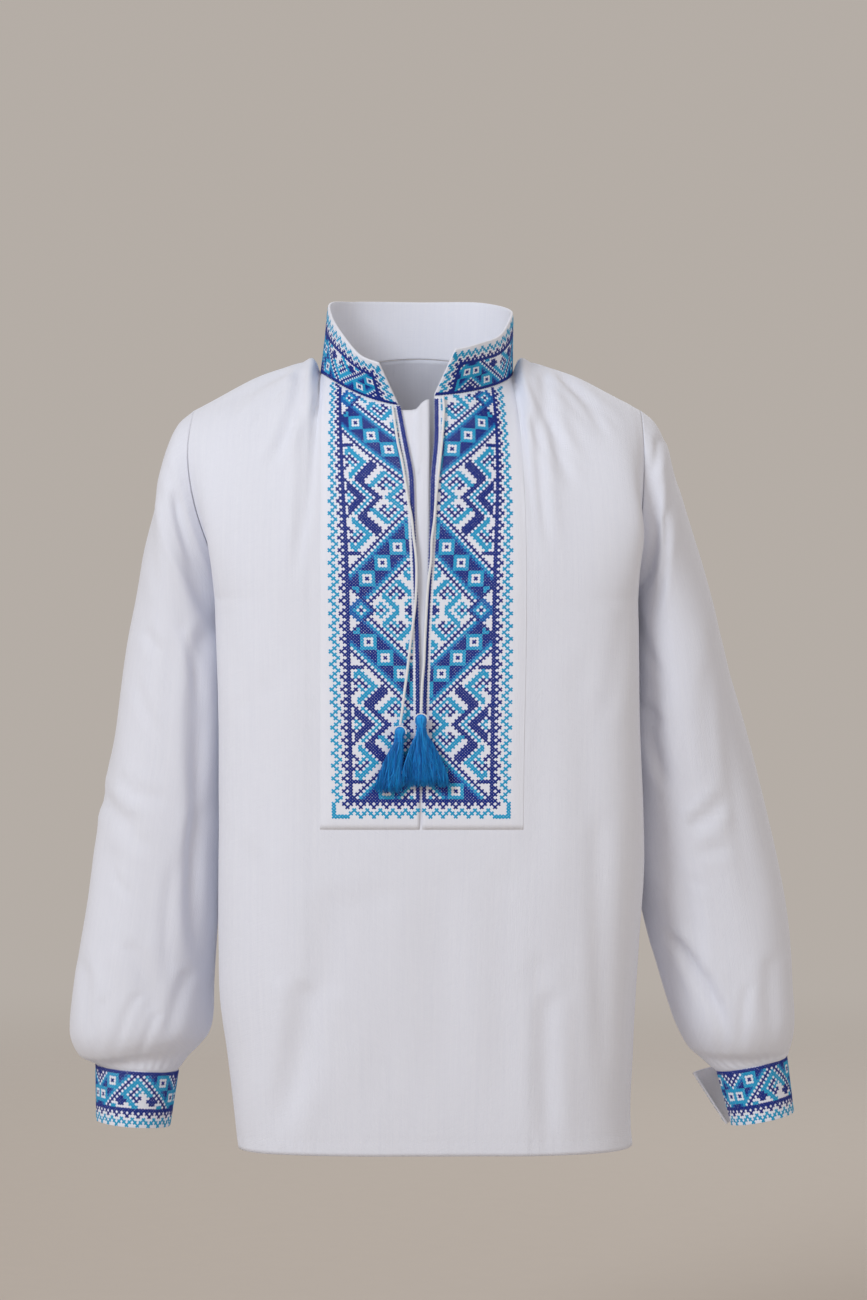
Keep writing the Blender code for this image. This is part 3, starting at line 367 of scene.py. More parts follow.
# Point of a panel with its main folds and, if asked, its finer relief.
def bodyCloth(s, v, face, fine=True):
    s, v = np.broadcast_arrays(np.asarray(s, float), np.asarray(v, float))
    point = bodySurface(s, v, face)

    def surface(a, b):
        return bodySurface(np.clip(a, -1, 1), np.clip(b, 0, 2), face)

    normal = normalOf(surface, s, v, -face)
    rows = frontFolds if face < 0 else backFolds
    lift = creases(point[..., 0], point[..., 2], rows) * ease((1 - np.abs(s)) / 0.12) * ease(v / 0.05)
    if fine:
        lift = lift + bodyRelief(s, v, point, face)
    return point + normal * lift[..., None]


# The panel's two numbers for a place given by x and z, found by Newton's steps.
def placeOnFront(x, z):
    x, z = np.broadcast_arrays(np.asarray(x, float), np.asarray(z, float))
    top, chest, hem = 10.0, bodyCut["chestZ"], bodyCut["hemZ"]
    s = (x - bodyCut["middleX"]) / 200.0
    v = np.where(z > chest, (top - z) / (top - chest), 1 + (chest - z) / (chest - hem))
    step = 1e-4
    for _ in range(14):
        here = bodySurface(s, v, -1)
        ds = (bodySurface(s + step, v, -1) - here) / step
        dv = (bodySurface(s, v + step, -1) - here) / step
        missX, missZ = x - here[..., 0], z - here[..., 2]
        spread = ds[..., 0] * dv[..., 2] - ds[..., 2] * dv[..., 0]
        s = np.clip(s + np.clip((missX * dv[..., 2] - missZ * dv[..., 0]) / spread, -0.1, 0.1), -0.95, 0.95)
        v = np.clip(v + np.clip((missZ * ds[..., 0] - missX * ds[..., 2]) / spread, -0.2, 0.2), 0.001, 1.95)
    return s, v


# Point at x and z on the front, moved out by some millimetres.
def onFront(x, z, off):
    s, v = placeOnFront(x, z)

    def surface(a, b):
        return bodyCloth(a, b, -1, fine=False)

    return surface(s, v) + normalOf(surface, s, v, 1) * np.asarray(off)[..., None]


# Meshes

# Object from points in millimetres and arrays of faces, each row the vertex numbers of a face, with a UV for
# each corner.
def makeObject(name, points, faces, cornerUv=None):
    mesh = bpy.data.meshes.new(name)
    mesh.from_pydata((points * mm).tolist(), [], [row for group in faces for row in group.tolist()])
    mesh.update()
    mesh.shade_smooth()
    if cornerUv is not None:
        mesh.uv_layers.new(name="clothUv").data.foreach_set("uv", np.ascontiguousarray(cornerUv, "f").ravel())
    piece = bpy.data.objects.new(name, mesh)
    bpy.context.scene.collection.objects.link(piece)
    return piece


# Flat coordinates of a grid in metres: length along each row from its middle, and down each column.
def gridUv(grid):
    alongRow = np.linalg.norm(np.diff(grid, axis=1), axis=-1)
    u = np.concatenate([np.zeros((len(grid), 1)), np.cumsum(alongRow, axis=1)], 1)
    downColumn = np.linalg.norm(np.diff(grid, axis=0), axis=-1)
    v = np.concatenate([np.zeros((1, grid.shape[1])), np.cumsum(downColumn, axis=0)], 0)
    return np.stack([u - u[:, u.shape[1] // 2, None], v], -1) * mm


# Cloth from grids of points, with the points that they share merged and the UV kept at each corner.
def clothFromGrids(name, grids, flip):
    points, quads, flat, start = [], [], [], 0
    for grid in grids:
        rows, cols = grid.shape[:2]
        number = start + np.arange(rows * cols).reshape(rows, cols)
        order = (number[:-1, :-1], number[1:, :-1], number[1:, 1:], number[:-1, 1:])
        quads.append(np.stack(order[::-1] if flip else order, -1).reshape(-1, 4))
        points.append(grid.reshape(-1, 3))
        flat.append(gridUv(grid).reshape(-1, 2))
        start += rows * cols
    points, quads, flat = np.concatenate(points), np.concatenate(quads), np.concatenate(flat)
    _, first, same = np.unique(np.round(points, 3), axis=0, return_index=True, return_inverse=True)
    return makeObject(name, points[first], [same.reshape(-1)[quads]], flat[quads].reshape(-1, 2))


# Wall of cloth: the given face stays the outer one, and the rim is closed.
def addWall(piece, thickness, rounding=0.0):
    wall = piece.modifiers.new("wall", "SOLIDIFY")
    wall.thickness = thickness * mm
    wall.offset = -1.0
    if rounding:
        bevel = piece.modifiers.new("roundedEdge", "BEVEL")
        bevel.width = rounding * mm
        bevel.segments = 2
        bevel.limit_method = "ANGLE"
        bevel.angle_limit = math.radians(55)


# Join of a piece to the part: its materials, the body it rides on and the node it stands for, which it hides.
def seat(piece, materials, node=None):
    for material in materials:
        piece.data.materials.append(material)
    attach(piece, "root")
    if node:
        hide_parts(node)
    return piece


# Finishes

# One socket of a material: sums, differences and products of wires and numbers add Math nodes.
class Wire:
    def __init__(self, tree, socket):
        self.tree = tree
        self.socket = socket

    def math(self, operation, first, second):
        node = self.tree.nodes.new("ShaderNodeMath")
        node.operation = operation
        plug(self.tree, node.inputs[0], first)
        plug(self.tree, node.inputs[1], second)
        return Wire(self.tree, node.outputs[0])

    def __add__(self, other):
        return self.math("ADD", self, other)

    def __sub__(self, other):
        return self.math("SUBTRACT", self, other)

    def __rsub__(self, other):
        return self.math("SUBTRACT", other, self)

    def __mul__(self, other):
        return self.math("MULTIPLY", self, other)

    __radd__ = __add__
    __rmul__ = __mul__


# A value or a wire into a socket.
def plug(tree, socket, value):
    if isinstance(value, Wire):
        tree.links.new(value.socket, socket)
    else:
        socket.default_value = value


# A material's tree, with its Principled shader, and one method that adds any other node.
class Finish:
    def __init__(self, name, roughness, **constants):
        self.material = bpy.data.materials.new(name)
        self.material.use_nodes = True
        self.tree = self.material.node_tree
        self.shader = self.tree.nodes["Principled BSDF"]
        self.set("Roughness", roughness)
        for socket, value in constants.items():
            self.set(socket.replace("_", " "), value)

    def set(self, socket, value):
        plug(self.tree, self.shader.inputs[socket], value)

    def node(self, kind, settings=None, output=0, **values):
        node = self.tree.nodes.new("ShaderNode" + kind)
        for key, value in (settings or {}).items():
            setattr(node, key, value)
        for socket, value in values.items():
            place = int(socket[1:]) if socket[0] == "i" and socket[1:].isdigit() else socket
            plug(self.tree, node.inputs[place], value)
        return Wire(self.tree, node.outputs[output])

    def noise(self, place, stretch, detail=2.0, rough=0.5):
        stretched = self.node("Mapping", Vector=place, Scale=stretch)
        return self.node("TexNoise", Vector=stretched, Scale=1.0, Detail=detail, Roughness=rough)

    def blend(self, factor, first, second):
        return self.node("Mix", {"data_type": "RGBA"}, 2, i0=factor, i6=first, i7=second)

    def bump(self, height, distance, strength=1.0):
        self.set("Normal", self.node("Bump", Height=height, Distance=distance, Strength=strength))


clothFinish = {
    "body": ((0.785, 0.805, 0.90, 1.0), (0.88, 0.895, 0.97, 1.0)),  # painted shade between threads and painted light on them
    "ground": ((0.82, 0.84, 0.945, 1.0), (0.92, 0.935, 1.0, 1.0)),
    "slub": 1500.0,  # threads' unevenness, counts per metre across them
    "slubRun": 70.0,  # and along them
    "relief": 0.00016,
}


# White poplin: fine uneven threads both ways on the cloth's own UV, darker as painted shade where they lie
# low and lighter as painted light where they rise, with a broad random change of tone.
def poplin(name, tones):
    finish = Finish(name, 0.82, Sheen_Weight=0.18, Sheen_Roughness=0.5, Specular_IOR_Level=0.25)
    place = finish.node("UVMap", {"uv_map": "clothUv"})
    fine, run = clothFinish["slub"], clothFinish["slubRun"]
    warp = finish.noise(place, (fine, run, 1.0))
    weft = finish.noise(place, (run, fine, 1.0))
    broad = finish.noise(finish.node("TexCoord", output=3), (9.0, 9.0, 5.0), 1.0)
    streak = finish.noise(place, (420.0, 9.0, 1.0), 3.0, 0.65)
    # Tone: painted shade and painted light from the threads' height, plus random broad and streaked tone
    tone = 0.36 * warp + 0.36 * weft + 0.25 * broad + 0.7 * streak - 0.28
    finish.set("Base Color", finish.blend(tone, *tones))
    finish.set("Roughness", 0.74 + 0.14 * warp)
    finish.bump(warp + weft, clothFinish["relief"])
    return finish.material


# Embroidery thread: colour that changes a little along and across, with fine filaments.
def thread(name, dark, light, roughness=0.5):
    finish = Finish(name, roughness, Specular_IOR_Level=0.3)
    place = finish.node("TexCoord", output=3)
    strands = finish.noise(place, (2600.0, 2600.0, 2600.0), 2.0)
    skein = finish.noise(place, (55.0, 55.0, 55.0), 1.0)
    finish.set("Base Color", finish.blend(0.65 * strands + 0.35 * skein, dark, light))
    finish.bump(strands, 0.0001, 0.6)
    return finish.material


# Loose tassel thread: long fine strands down the fringe.
def fringeThread(name, dark, light):
    finish = Finish(name, 0.42, Sheen_Weight=0.03, Specular_IOR_Level=0.4)
    place = finish.node("TexCoord", output=3)
    strands = finish.noise(place, (2400.0, 2400.0, 60.0), 2.0)
    tufts = finish.noise(place, (700.0, 700.0, 30.0), 1.0)
    finish.set("Base Color", finish.blend(2.2 * tufts + 0.8 * strands - 1.0, dark, light))
    finish.set("Roughness", 0.36 + 0.2 * strands)
    finish.bump(strands, 0.0002, 0.8)
    return finish.material


# Twisted cotton cord: slanting plies, with painted shade in the grooves between them and painted light on
# their crests, and fine fibres.
def twistedCord(name, dark, light):
    finish = Finish(name, 0.6, Sheen_Weight=0.2, Specular_IOR_Level=0.3)
    place = finish.node("TexCoord", output=3)
    turned = finish.node("Mapping", Vector=place, Rotation=(0.0, math.radians(38.0), 0.0))
    plies = finish.node(
        "TexWave", {"wave_type": "BANDS", "bands_direction": "Z"}, Vector=turned, Scale=300.0, Distortion=0.4
    )
    fibres = finish.noise(place, (3000.0, 3000.0, 700.0))
    # Painted shade in the plies' grooves and painted light on their crests, with random fibre tone
    finish.set("Base Color", finish.blend(0.7 * plies + 0.3 * fibres, dark, light))
    finish.bump(plies + 0.3 * fibres, 0.0003, 0.8)
    return finish.material


bodyPoplin = poplin("bodyPoplin", clothFinish["body"])
groundCloth = poplin("embroideryGround", clothFinish["ground"])
threads = [
    thread("navyThread", (0.003, 0.014, 0.18, 1.0), (0.008, 0.036, 0.32, 1.0)),
    thread("blueThread", (0.002, 0.09, 0.38, 1.0), (0.006, 0.18, 0.58, 1.0)),
    thread("turquoiseThread", (0.006, 0.29, 0.58, 1.0), (0.02, 0.46, 0.76, 1.0)),
]
# White cord: the darker colour is painted shade in the ply grooves, the lighter one painted light on the
# crests
cordCotton = twistedCord("cordCotton", (0.88, 0.885, 0.90, 1.0), (0.97, 0.975, 0.99, 1.0))
tasselThread = fringeThread("tasselThread", (0.001, 0.11, 0.47, 1.0), (0.008, 0.42, 0.98, 1.0))
print("finishes made")


# Camera: level, at the height and distance that the photograph was taken from
view = {"place": (0.0122, -2.6, -0.194), "halfHeight": 0.468}
lens = bpy.data.cameras.new("photoCamera")
lens.sensor_fit = "VERTICAL"
lens.angle = 2 * math.atan(view["halfHeight"] / abs(view["place"][1]))
camera = bpy.data.objects.new("photoCamera", lens)
camera.location = view["place"]
camera.rotation_euler = (math.radians(90), 0.0, 0.0)
bpy.context.scene.collection.objects.link(camera)
bpy.context.scene.camera = camera
bpy.context.scene.view_settings.view_transform = "Standard"


# Tie cords: places down the chest, listed one by one. Columns: x, z, lift off the cloth.
cordCut = {
    "diameter": 1.9,
    "clear": 2.85,  # from the front's surface to the cord's middle: embroidered cloth, a gap and half a cord
    "points": 90,
    "routes": {
        "left": (
            (-16.2, -24.5, 0), (-14.4, -38.0, 0), (-12.6, -50.0, 0), (-9.9, -62.0, 0), (-6.9, -80.5, 0),
            (-5.4, -91.0, 0), (-3.2, -101.5, 0), (-1.7, -115.5, 0), (0.1, -130.0, 0), (0.3, -150.0, 0),
            (-0.5, -163.0, 0), (-1.6, -173.0, 0), (-3.4, -186.5, 0), (-4.8, -198.5, 0.3), (-6.2, -210.5, 0.8),
            (-7.9, -223.0, 1.5), (-9.3, -234.5, 2.4), (-10.8, -246.0, 3.0),
        ),
        "right": (
            (18.4, -17.5, 0), (19.1, -26.0, 0), (18.5, -38.0, 0), (17.7, -50.0, 0), (16.7, -60.5, 0),
            (15.6, -71.0, 0), (14.6, -81.5, 0), (13.6, -93.5, 0), (12.6, -106.0, 0), (11.2, -116.0, 0),
            (10.5, -132.5, 0), (8.8, -145.0, 0), (7.7, -158.5, 0), (7.0, -172.5, 0.1), (6.3, -186.0, 0.4),
            (5.6, -203.5, 1.1), (4.3, -219.0, 2.2), (3.6, -237.4, 3.4),
        ),
    },
}


# One cord: a smooth line through its places on the front, as a curve of one open spline.
def makeCord(name):
    route = np.array(cordCut["routes"][name])
    knots = onFront(route[:, 0], route[:, 1], cordCut["clear"] + route[:, 2])
    steps = np.concatenate([[0.0], np.cumsum(np.linalg.norm(np.diff(knots, axis=0), axis=1))])
    points = through(steps, knots, np.linspace(0.0, steps[-1], cordCut["points"])) * mm
    curve = bpy.data.curves.new("cordOf" + name.capitalize(), "CURVE")
    curve.dimensions = "3D"
    curve.bevel_depth = cordCut["diameter"] * mm / 2
    curve.bevel_resolution = 3
    curve.use_fill_caps = True
    spline = curve.splines.new("POLY")
    spline.points.add(len(points) - 1)
    spline.points.foreach_set("co", np.concatenate([points, np.ones((len(points), 1))], 1).ravel())
    cord = bpy.data.objects.new("tieCord_" + name, curve)
    bpy.context.scene.collection.objects.link(cord)
    seat(cord, [cordCotton], "tie_cord_" + name)
    length = np.linalg.norm(np.diff(points, axis=0), axis=1).sum()
    return cord, tuple(points[0].tolist()), float(length)


# Tassels: from the top down. Columns: z, x, y, half width, half depth.
tasselCut = {
    "left": (
        (-246.4, -10.9, -105.4, 1.4, 1.4),
        (-247.6, -10.9, -105.4, 3.2, 2.8),
        (-251.0, -11.0, -105.4, 3.9, 3.4),
        (-254.6, -11.4, -105.4, 2.8, 2.6),
        (-257.6, -11.9, -105.4, 3.0, 2.7),
        (-264.0, -13.6, -105.2, 4.8, 3.0),
        (-274.0, -16.2, -104.9, 7.0, 3.0),
        (-284.0, -18.2, -104.9, 8.6, 2.8),
        (-293.5, -19.6, -104.8, 9.2, 2.5),
    ),
    "right": (
        (-237.8, 3.6, -105.8, 1.4, 1.4),
        (-239.0, 3.6, -105.8, 3.4, 3.0),
        (-243.4, 3.6, -105.8, 4.2, 3.8),
        (-247.6, 3.8, -105.8, 2.9, 2.8),
        (-250.6, 3.9, -105.8, 3.1, 3.0),
        (-257.0, 4.4, -105.8, 6.4, 3.6),
        (-267.0, 5.2, -105.8, 10.8, 3.8),
        (-278.0, 6.0, -105.8, 14.6, 3.8),
        (-289.5, 6.6, -105.6, 16.6, 3.4),
    ),
    "neckRow": 3,
    "threads": {"left": 520, "right": 820},
    "tufts": {"left": 30, "right": 46},
    "strayShare": 0.12,
    "threadPoints": 9,
    "threadRadius": 0.19,
    "loopRadius": 0.5,
    "headRings": 26,
    "headSides": 32,
    "seed": 7,
}


# Tubes along many paths at once, as rings across each point with closed ends. Paths are (count, points, 3).
def tubes(paths, radius, sides=3):
    count, steps = paths.shape[:2]
    along = np.gradient(paths, axis=1)
    along /= np.linalg.norm(along, axis=-1, keepdims=True)
    across = np.cross(along, np.array([0.31, 0.9, 0.3]))
    across /= np.linalg.norm(across, axis=-1, keepdims=True)
    other = np.cross(along, across)
    turn = np.linspace(0.0, 2 * np.pi, sides, endpoint=False)[:, None]
    radius = np.broadcast_to(np.asarray(radius, float), (count, steps))[:, :, None, None]
    ring = across[:, :, None] * np.cos(turn) + other[:, :, None] * np.sin(turn)
    points = (paths[:, :, None] + ring * radius).reshape(-1, 3)
    number = np.arange(count * steps * sides).reshape(count, steps, sides)
    near, far = number[:, :-1], number[:, 1:]
    wall = np.stack([near, np.roll(near, -1, 2), np.roll(far, -1, 2), far], -1).reshape(-1, 4)
    ends = np.concatenate([number[:, 0, ::-1], number[:, -1]])
    return points, wall, ends


# One tassel's mesh: a wound head, a closed core and fine threads that spread inside the fringe's outline.
def makeTassel(name):
    rows = np.array(tasselCut[name])
    draw = np.random.default_rng(tasselCut["seed"] + len(name))
    neck = tasselCut["neckRow"]
    depth = np.linspace(0.0, 1.0, tasselCut["headRings"])
    headZ = rows[0, 0] + (rows[neck + 1, 0] - rows[0, 0]) * depth
    keys = -rows[:, 0]
    head = through(keys, rows[:, 1:], -headZ)
    wound = 1 + 0.06 * np.sin(2 * np.pi * depth * 14.0) * ease((depth - 0.62) / 0.1)
    turn = np.linspace(0.0, 2 * np.pi, tasselCut["headSides"], endpoint=False)[None, :]
    ribs = 1 + 0.035 * np.sin(turn * 16)
    width, thick = (head[:, 2] * wound)[:, None] * ribs, (head[:, 3] * wound)[:, None] * ribs
    xHead = head[:, 0, None] + width * np.cos(turn)
    yHead = head[:, 1, None] + thick * np.sin(turn)
    grid = np.stack([xHead, yHead, headZ[:, None] + 0 * turn], -1)
    coreZ = np.linspace(rows[neck, 0], rows[-1, 0] + 5.0, 14)
    core = through(keys, rows[:, 1:], -coreZ)
    fill = np.linspace(0.85, 0.5, 14)[:, None]
    coreX = core[:, 0, None] + core[:, 2, None] * fill * np.cos(turn)
    coreY = core[:, 1, None] + core[:, 3, None] * fill * np.sin(turn)
    coreGrid = np.stack([coreX, coreY, coreZ[:, None] + 0 * turn], -1)
    points, faces, start = [], [], 0
    for part in (grid, coreGrid):
        number = start + np.arange(part.shape[0] * part.shape[1]).reshape(part.shape[:2])
        upper, lower = number[:-1], number[1:]
        ring = np.stack([upper, lower, np.roll(lower, -1, 1), np.roll(upper, -1, 1)], -1)
        faces += [ring.reshape(-1, 4), number[:1], number[-1:, ::-1]]
        points.append(part.reshape(-1, 3))
        start += part.shape[0] * part.shape[1]
    count, steps = tasselCut["threads"][name], tasselCut["threadPoints"]
    tuft = draw.integers(0, tasselCut["tufts"][name], (count, 1))
    tuftAt = draw.uniform(0.0, 2 * np.pi, tasselCut["tufts"][name])[tuft]
    tuftOut = np.sqrt(draw.uniform(0.25, 1.0, tasselCut["tufts"][name]))[tuft]
    tuftEnd = draw.uniform(0.0, 3.0, tasselCut["tufts"][name])[tuft]
    where = np.clip(tuftOut + draw.normal(0.0, 0.05, (count, 1)), 0.2, 1.02)
    angle = tuftAt + draw.normal(0.0, 0.11, (count, 1))
    end = rows[-1, 0] + tuftEnd + draw.uniform(-0.2, 1.6, (count, 1))
    end = end + draw.uniform(0, 5.0, (count, 1)) ** 3 / 60.0
    fall = np.linspace(0.0, 1.0, steps)[None, :]
    z = rows[neck, 0] + (end - rows[neck, 0]) * fall
    outline = through(keys, rows[:, 1:], -z)
    stray = draw.normal(0.0, 1.0, (count, 1)) ** 3 * 0.12 * fall ** 2
    chosen = draw.uniform(0.0, 1.0, (count, 1)) < tasselCut["strayShare"]
    crossing = chosen * draw.normal(0.0, 0.7, (count, 1))
    where = np.where(crossing == 0, where, 1.05)
    sway = 0.12 * np.sin(fall * 5.0 + draw.uniform(0, 6.3, (count, 1))) * fall
    angle = angle + stray + crossing * fall ** 1.3 + sway
    x = outline[..., 0] + outline[..., 2] * where * np.cos(angle)
    y = outline[..., 1] + outline[..., 3] * where * np.sin(angle)
    radius = tasselCut["threadRadius"] * (1 - 0.35 * fall)
    threadPoints, wall, ends = tubes(np.stack([x, y, z], -1), radius)
    points.append(threadPoints)
    faces += [wall + start, ends + start]
    piece = makeObject("tassel" + name.capitalize(), np.concatenate(points), faces)
    return seat(piece, [tasselThread], "tassel_" + name)


# The cord's own loop over a tassel's head: a little more than half a ring of cord, as a tube along an arc.
def makeLoop(name):
    z, x, y, _, _ = tasselCut[name][1]
    width, depth = tasselCut[name][2][3:]
    turn = np.linspace(math.radians(-12), math.radians(192), 26)
    xLoop = x + (width + 0.35) * np.cos(turn)
    yLoop = y - 0.4 - 0.42 * depth + 0 * turn
    zLoop = z - 3.4 + 4.4 * np.sin(turn)
    points, wall, ends = tubes(np.stack([xLoop, yLoop, zLoop], -1)[None], tasselCut["loopRadius"], 8)
    piece = makeObject("tasselLoop_" + name, points, [wall, ends])
    return seat(piece, [cordCotton])


for name in ("left", "right"):
    cord, start, length = makeCord(name)
    tassel = makeTassel(name)
    loop = makeLoop(name)
    print("cord", name, round(length * 1000, 1), "mm")


# Chest opening and embroidered halves. Columns: z, left, right.
chestCut = {
    "slit": (
        (-330.0, 2.6, 4.4), (-236.0, 2.6, 4.8), (-184.0, 2.0, 6.4), (-143.0, 0.8, 8.4), (-100.0, -0.8, 9.8),
        (-70.0, -2.2, 10.6), (-52.0, -5.6, 12.4), (-10.0, -13.6, 12.8),
    ),
    "edge": ((-330.0, -66.5, 74.5), (-60.0, -66.5, 74.5), (-25.0, -66.5, 72.0), (5.0, -66.0, 67.0)),
    "stitched": (
        (-330.0, -57.6, 65.1), (-311.0, -57.8, 65.3), (-175.0, -60.4, 67.0), (-60.0, -61.2, 65.6),
        (-10.0, -60.8, 61.0), (5.0, -60.4, 59.0),
    ),
    "slitEndZ": -236.0,
    "slitInset": 0.002,
    "bottomZ": -318.5,
    "width": 68.0,
    "topV": 0.004,
    "stitchBottomZ": -310.5,
    "stitchColumns": 27,
    "stitchPitch": 2.2,  # height of one row of crosses
    "stitchReach": 0.996,  # share of the way to the slit
    "height": 0.8,  # of the ground's face over the panel
    "edgeHeight": 0.04,
    "rolled": 7.0,  # width over which its edge turns down
    "wall": 0.4,
    "columns": 28,
    "rows": 130,
}


# Share of the front's width at which each of its rows meets a line down the front.
def shareAt(v, rows, column):
    rows = np.array(rows)
    s = np.zeros_like(v)
    step = 1e-3
    for _ in range(12):
        here = bodySurface(s, v, -1)
        want = through(rows[:, 0], rows[:, column], here[:, 2])
        slope = (bodySurface(s + step, v, -1) - here)[:, 0] / step
        s = s + np.clip((want - here[:, 0]) / slope, -0.1, 0.1)
    return s


panelGrid = {"topRows": 76, "lowRows": 142, "shoulderColumns": 46, "chestColumns": 22, "backColumns": 96}
panelWall = 0.5


# Rows of a panel: even steps from the top edge to the chest and from there to the hem.
def panelRows(share=1.0):
    top = np.linspace(0.0, 1.0, int(panelGrid["topRows"] * share), endpoint=False)
    return np.concatenate([top, np.linspace(1.0, 2.0, int(panelGrid["lowRows"] * share))])


# Front panel: two halves that part at the slit and join below it.
def makeFront():
    v = panelRows()
    inner = {side: shareAt(v, chestCut["slit"], 1 if side < 0 else 2) for side in (-1, 1)}
    middle = (inner[-1] + inner[1]) / 2
    shut = bodySurface(middle, v, -1)[:, 2] < chestCut["slitEndZ"]
    t = np.linspace(0.0, 1.0, panelGrid["shoulderColumns"], endpoint=False)
    c = np.linspace(0.0, 1.0, panelGrid["chestColumns"])
    grids = []
    for side in (-1, 1):
        outer = shareAt(v, chestCut["edge"], 1 if side < 0 else 2)[:, None]
        slit = np.where(shut, middle, inner[side] + side * chestCut["slitInset"])[:, None]
        shoulder = side + (outer - side) * t ** 1.1
        s = np.concatenate([shoulder, outer + (slit - outer) * c], 1)
        s = s if side < 0 else s[:, ::-1]
        grids.append(bodyCloth(s, v[:, None], -1))
    return clothFromGrids("frontPanel", grids, False)


# Back panel: one grid from side seam to side seam.
def makeBack():
    v = panelRows(0.75)
    t = np.linspace(-1.0, 1.0, panelGrid["backColumns"])
    s = np.sign(t) * (1 - (1 - np.abs(t)) ** 1.1)
    return clothFromGrids("backPanel", [bodyCloth(s[None, :], v[:, None], 1)], True)


frontPiece = makeFront()
backPiece = makeBack()
for piece, node in ((frontPiece, "front_panel"), (backPiece, "back_panel")):
    addWall(piece, panelWall)
    seat(piece, [bodyPoplin], node)
print("panels made")


# Sleeves. Columns: outer x, outer z, inner x, inner z, front, back. The armhole's ring comes before them.
sleeveCut = {
    -1: (
        (-171.5, -33.0, -135.5, -163.0, -45.0, 69.0),
        (-181.0, -56.0, -137.5, -168.0, -48.0, 73.0),
        (-188.5, -86.0, -138.0, -177.0, -49.0, 77.0),
        (-195.5, -119.0, -137.5, -189.0, -49.0, 79.0),
        (-202.5, -156.0, -137.0, -205.0, -48.0, 81.0),
        (-210.5, -196.0, -137.0, -226.0, -46.0, 82.0),
        (-219.5, -262.0, -137.5, -272.0, -43.0, 81.0),
        (-228.5, -318.0, -138.5, -318.0, -40.0, 79.0),
        (-236.5, -372.0, -141.5, -364.0, -37.0, 76.0),
        (-244.0, -415.0, -144.5, -404.0, -35.0, 73.0),
        (-249.0, -446.0, -147.0, -434.0, -34.0, 71.0),
        (-250.5, -467.0, -148.0, -458.0, -33.0, 69.0),
        (-248.5, -478.0, -151.0, -470.5, -30.0, 66.0),
        (-243.0, -487.0, -157.5, -479.0, -24.0, 60.0),
        (-236.0, -490.5, -166.0, -487.5, -17.0, 51.0),
        (-229.5, -493.0, -172.5, -497.0, -14.0, 42.0),
    ),
    1: (
        (172.0, -31.0, 150.0, -163.0, -45.0, 69.0),
        (180.5, -49.0, 151.5, -168.0, -48.0, 73.0),
        (188.5, -76.0, 152.0, -177.0, -49.0, 77.0),
        (198.5, -109.0, 152.0, -189.0, -49.0, 79.0),
        (209.5, -143.0, 152.0, -205.0, -48.0, 81.0),
        (221.5, -183.0, 152.0, -226.0, -46.0, 82.0),
        (236.0, -240.0, 152.5, -268.0, -43.0, 81.0),
        (248.5, -293.0, 153.5, -312.0, -40.0, 79.0),
        (259.5, -346.0, 159.0, -356.0, -37.0, 76.0),
        (267.5, -392.0, 166.5, -396.0, -35.0, 73.0),
        (271.5, -428.0, 175.0, -428.0, -34.0, 71.0),
        (273.5, -456.0, 184.0, -456.0, -33.0, 69.0),
        (273.0, -470.0, 190.0, -470.0, -30.0, 66.0),
        (271.0, -479.5, 197.0, -481.5, -24.0, 60.0),
        (269.0, -484.5, 206.0, -489.0, -17.0, 51.0),
        (268.0, -486.5, 215.0, -496.9, -14.0, 42.0),
    ),
    "squareness": 2.2,
    "armholeFade": 0.42,
    "step": 0.15,
    "columns": 116,
    "rows": 168,
    "undulation": 1.2,
    "ripple": 0.42,
    "cuffGather": 0.55,
    "cuffGathers": 30,
    "capPucker": 0.3,
}
sleeveFolds = {
    (-1, "front"): (
        (-172.0, -80.0, -136.0, -196.0, 4.0, 11.0, 3.0),
        (-150.0, -170.0, -153.0, -330.0, 6.0, 12.0, 3.4),
        (-153.0, -300.0, -150.0, -434.0, 8.0, 12.0, 3.0),
        (-238.0, -286.0, -190.0, -322.0, 5.0, 12.0, 2.2),
    ),
    (-1, "back"): (
        (-176.0, -90.0, -140.0, -210.0, -4.0, 11.0, 2.6),
        (-222.0, -290.0, -160.0, -262.0, 6.0, 12.0, 2.6),
        (-214.0, -440.0, -190.0, -340.0, -6.0, 14.0, 2.2),
    ),
    (1, "front"): (
        (172.0, -40.0, 159.0, -76.0, -3.0, 9.0, 2.2),
        (166.0, -228.0, 182.0, -296.0, 4.0, 12.0, 2.4),
        (194.0, -320.0, 222.0, -294.0, 4.0, 10.0, 2.2),
        (178.0, -394.0, 218.0, -464.0, -5.0, 10.0, 3.0),
    ),
    (1, "back"): (
        (180.0, -90.0, 156.0, -206.0, 4.0, 11.0, 2.6),
        (236.0, -290.0, 178.0, -262.0, -6.0, 12.0, 2.6),
        (236.0, -450.0, 212.0, -350.0, 6.0, 14.0, 2.2),
    ),
}
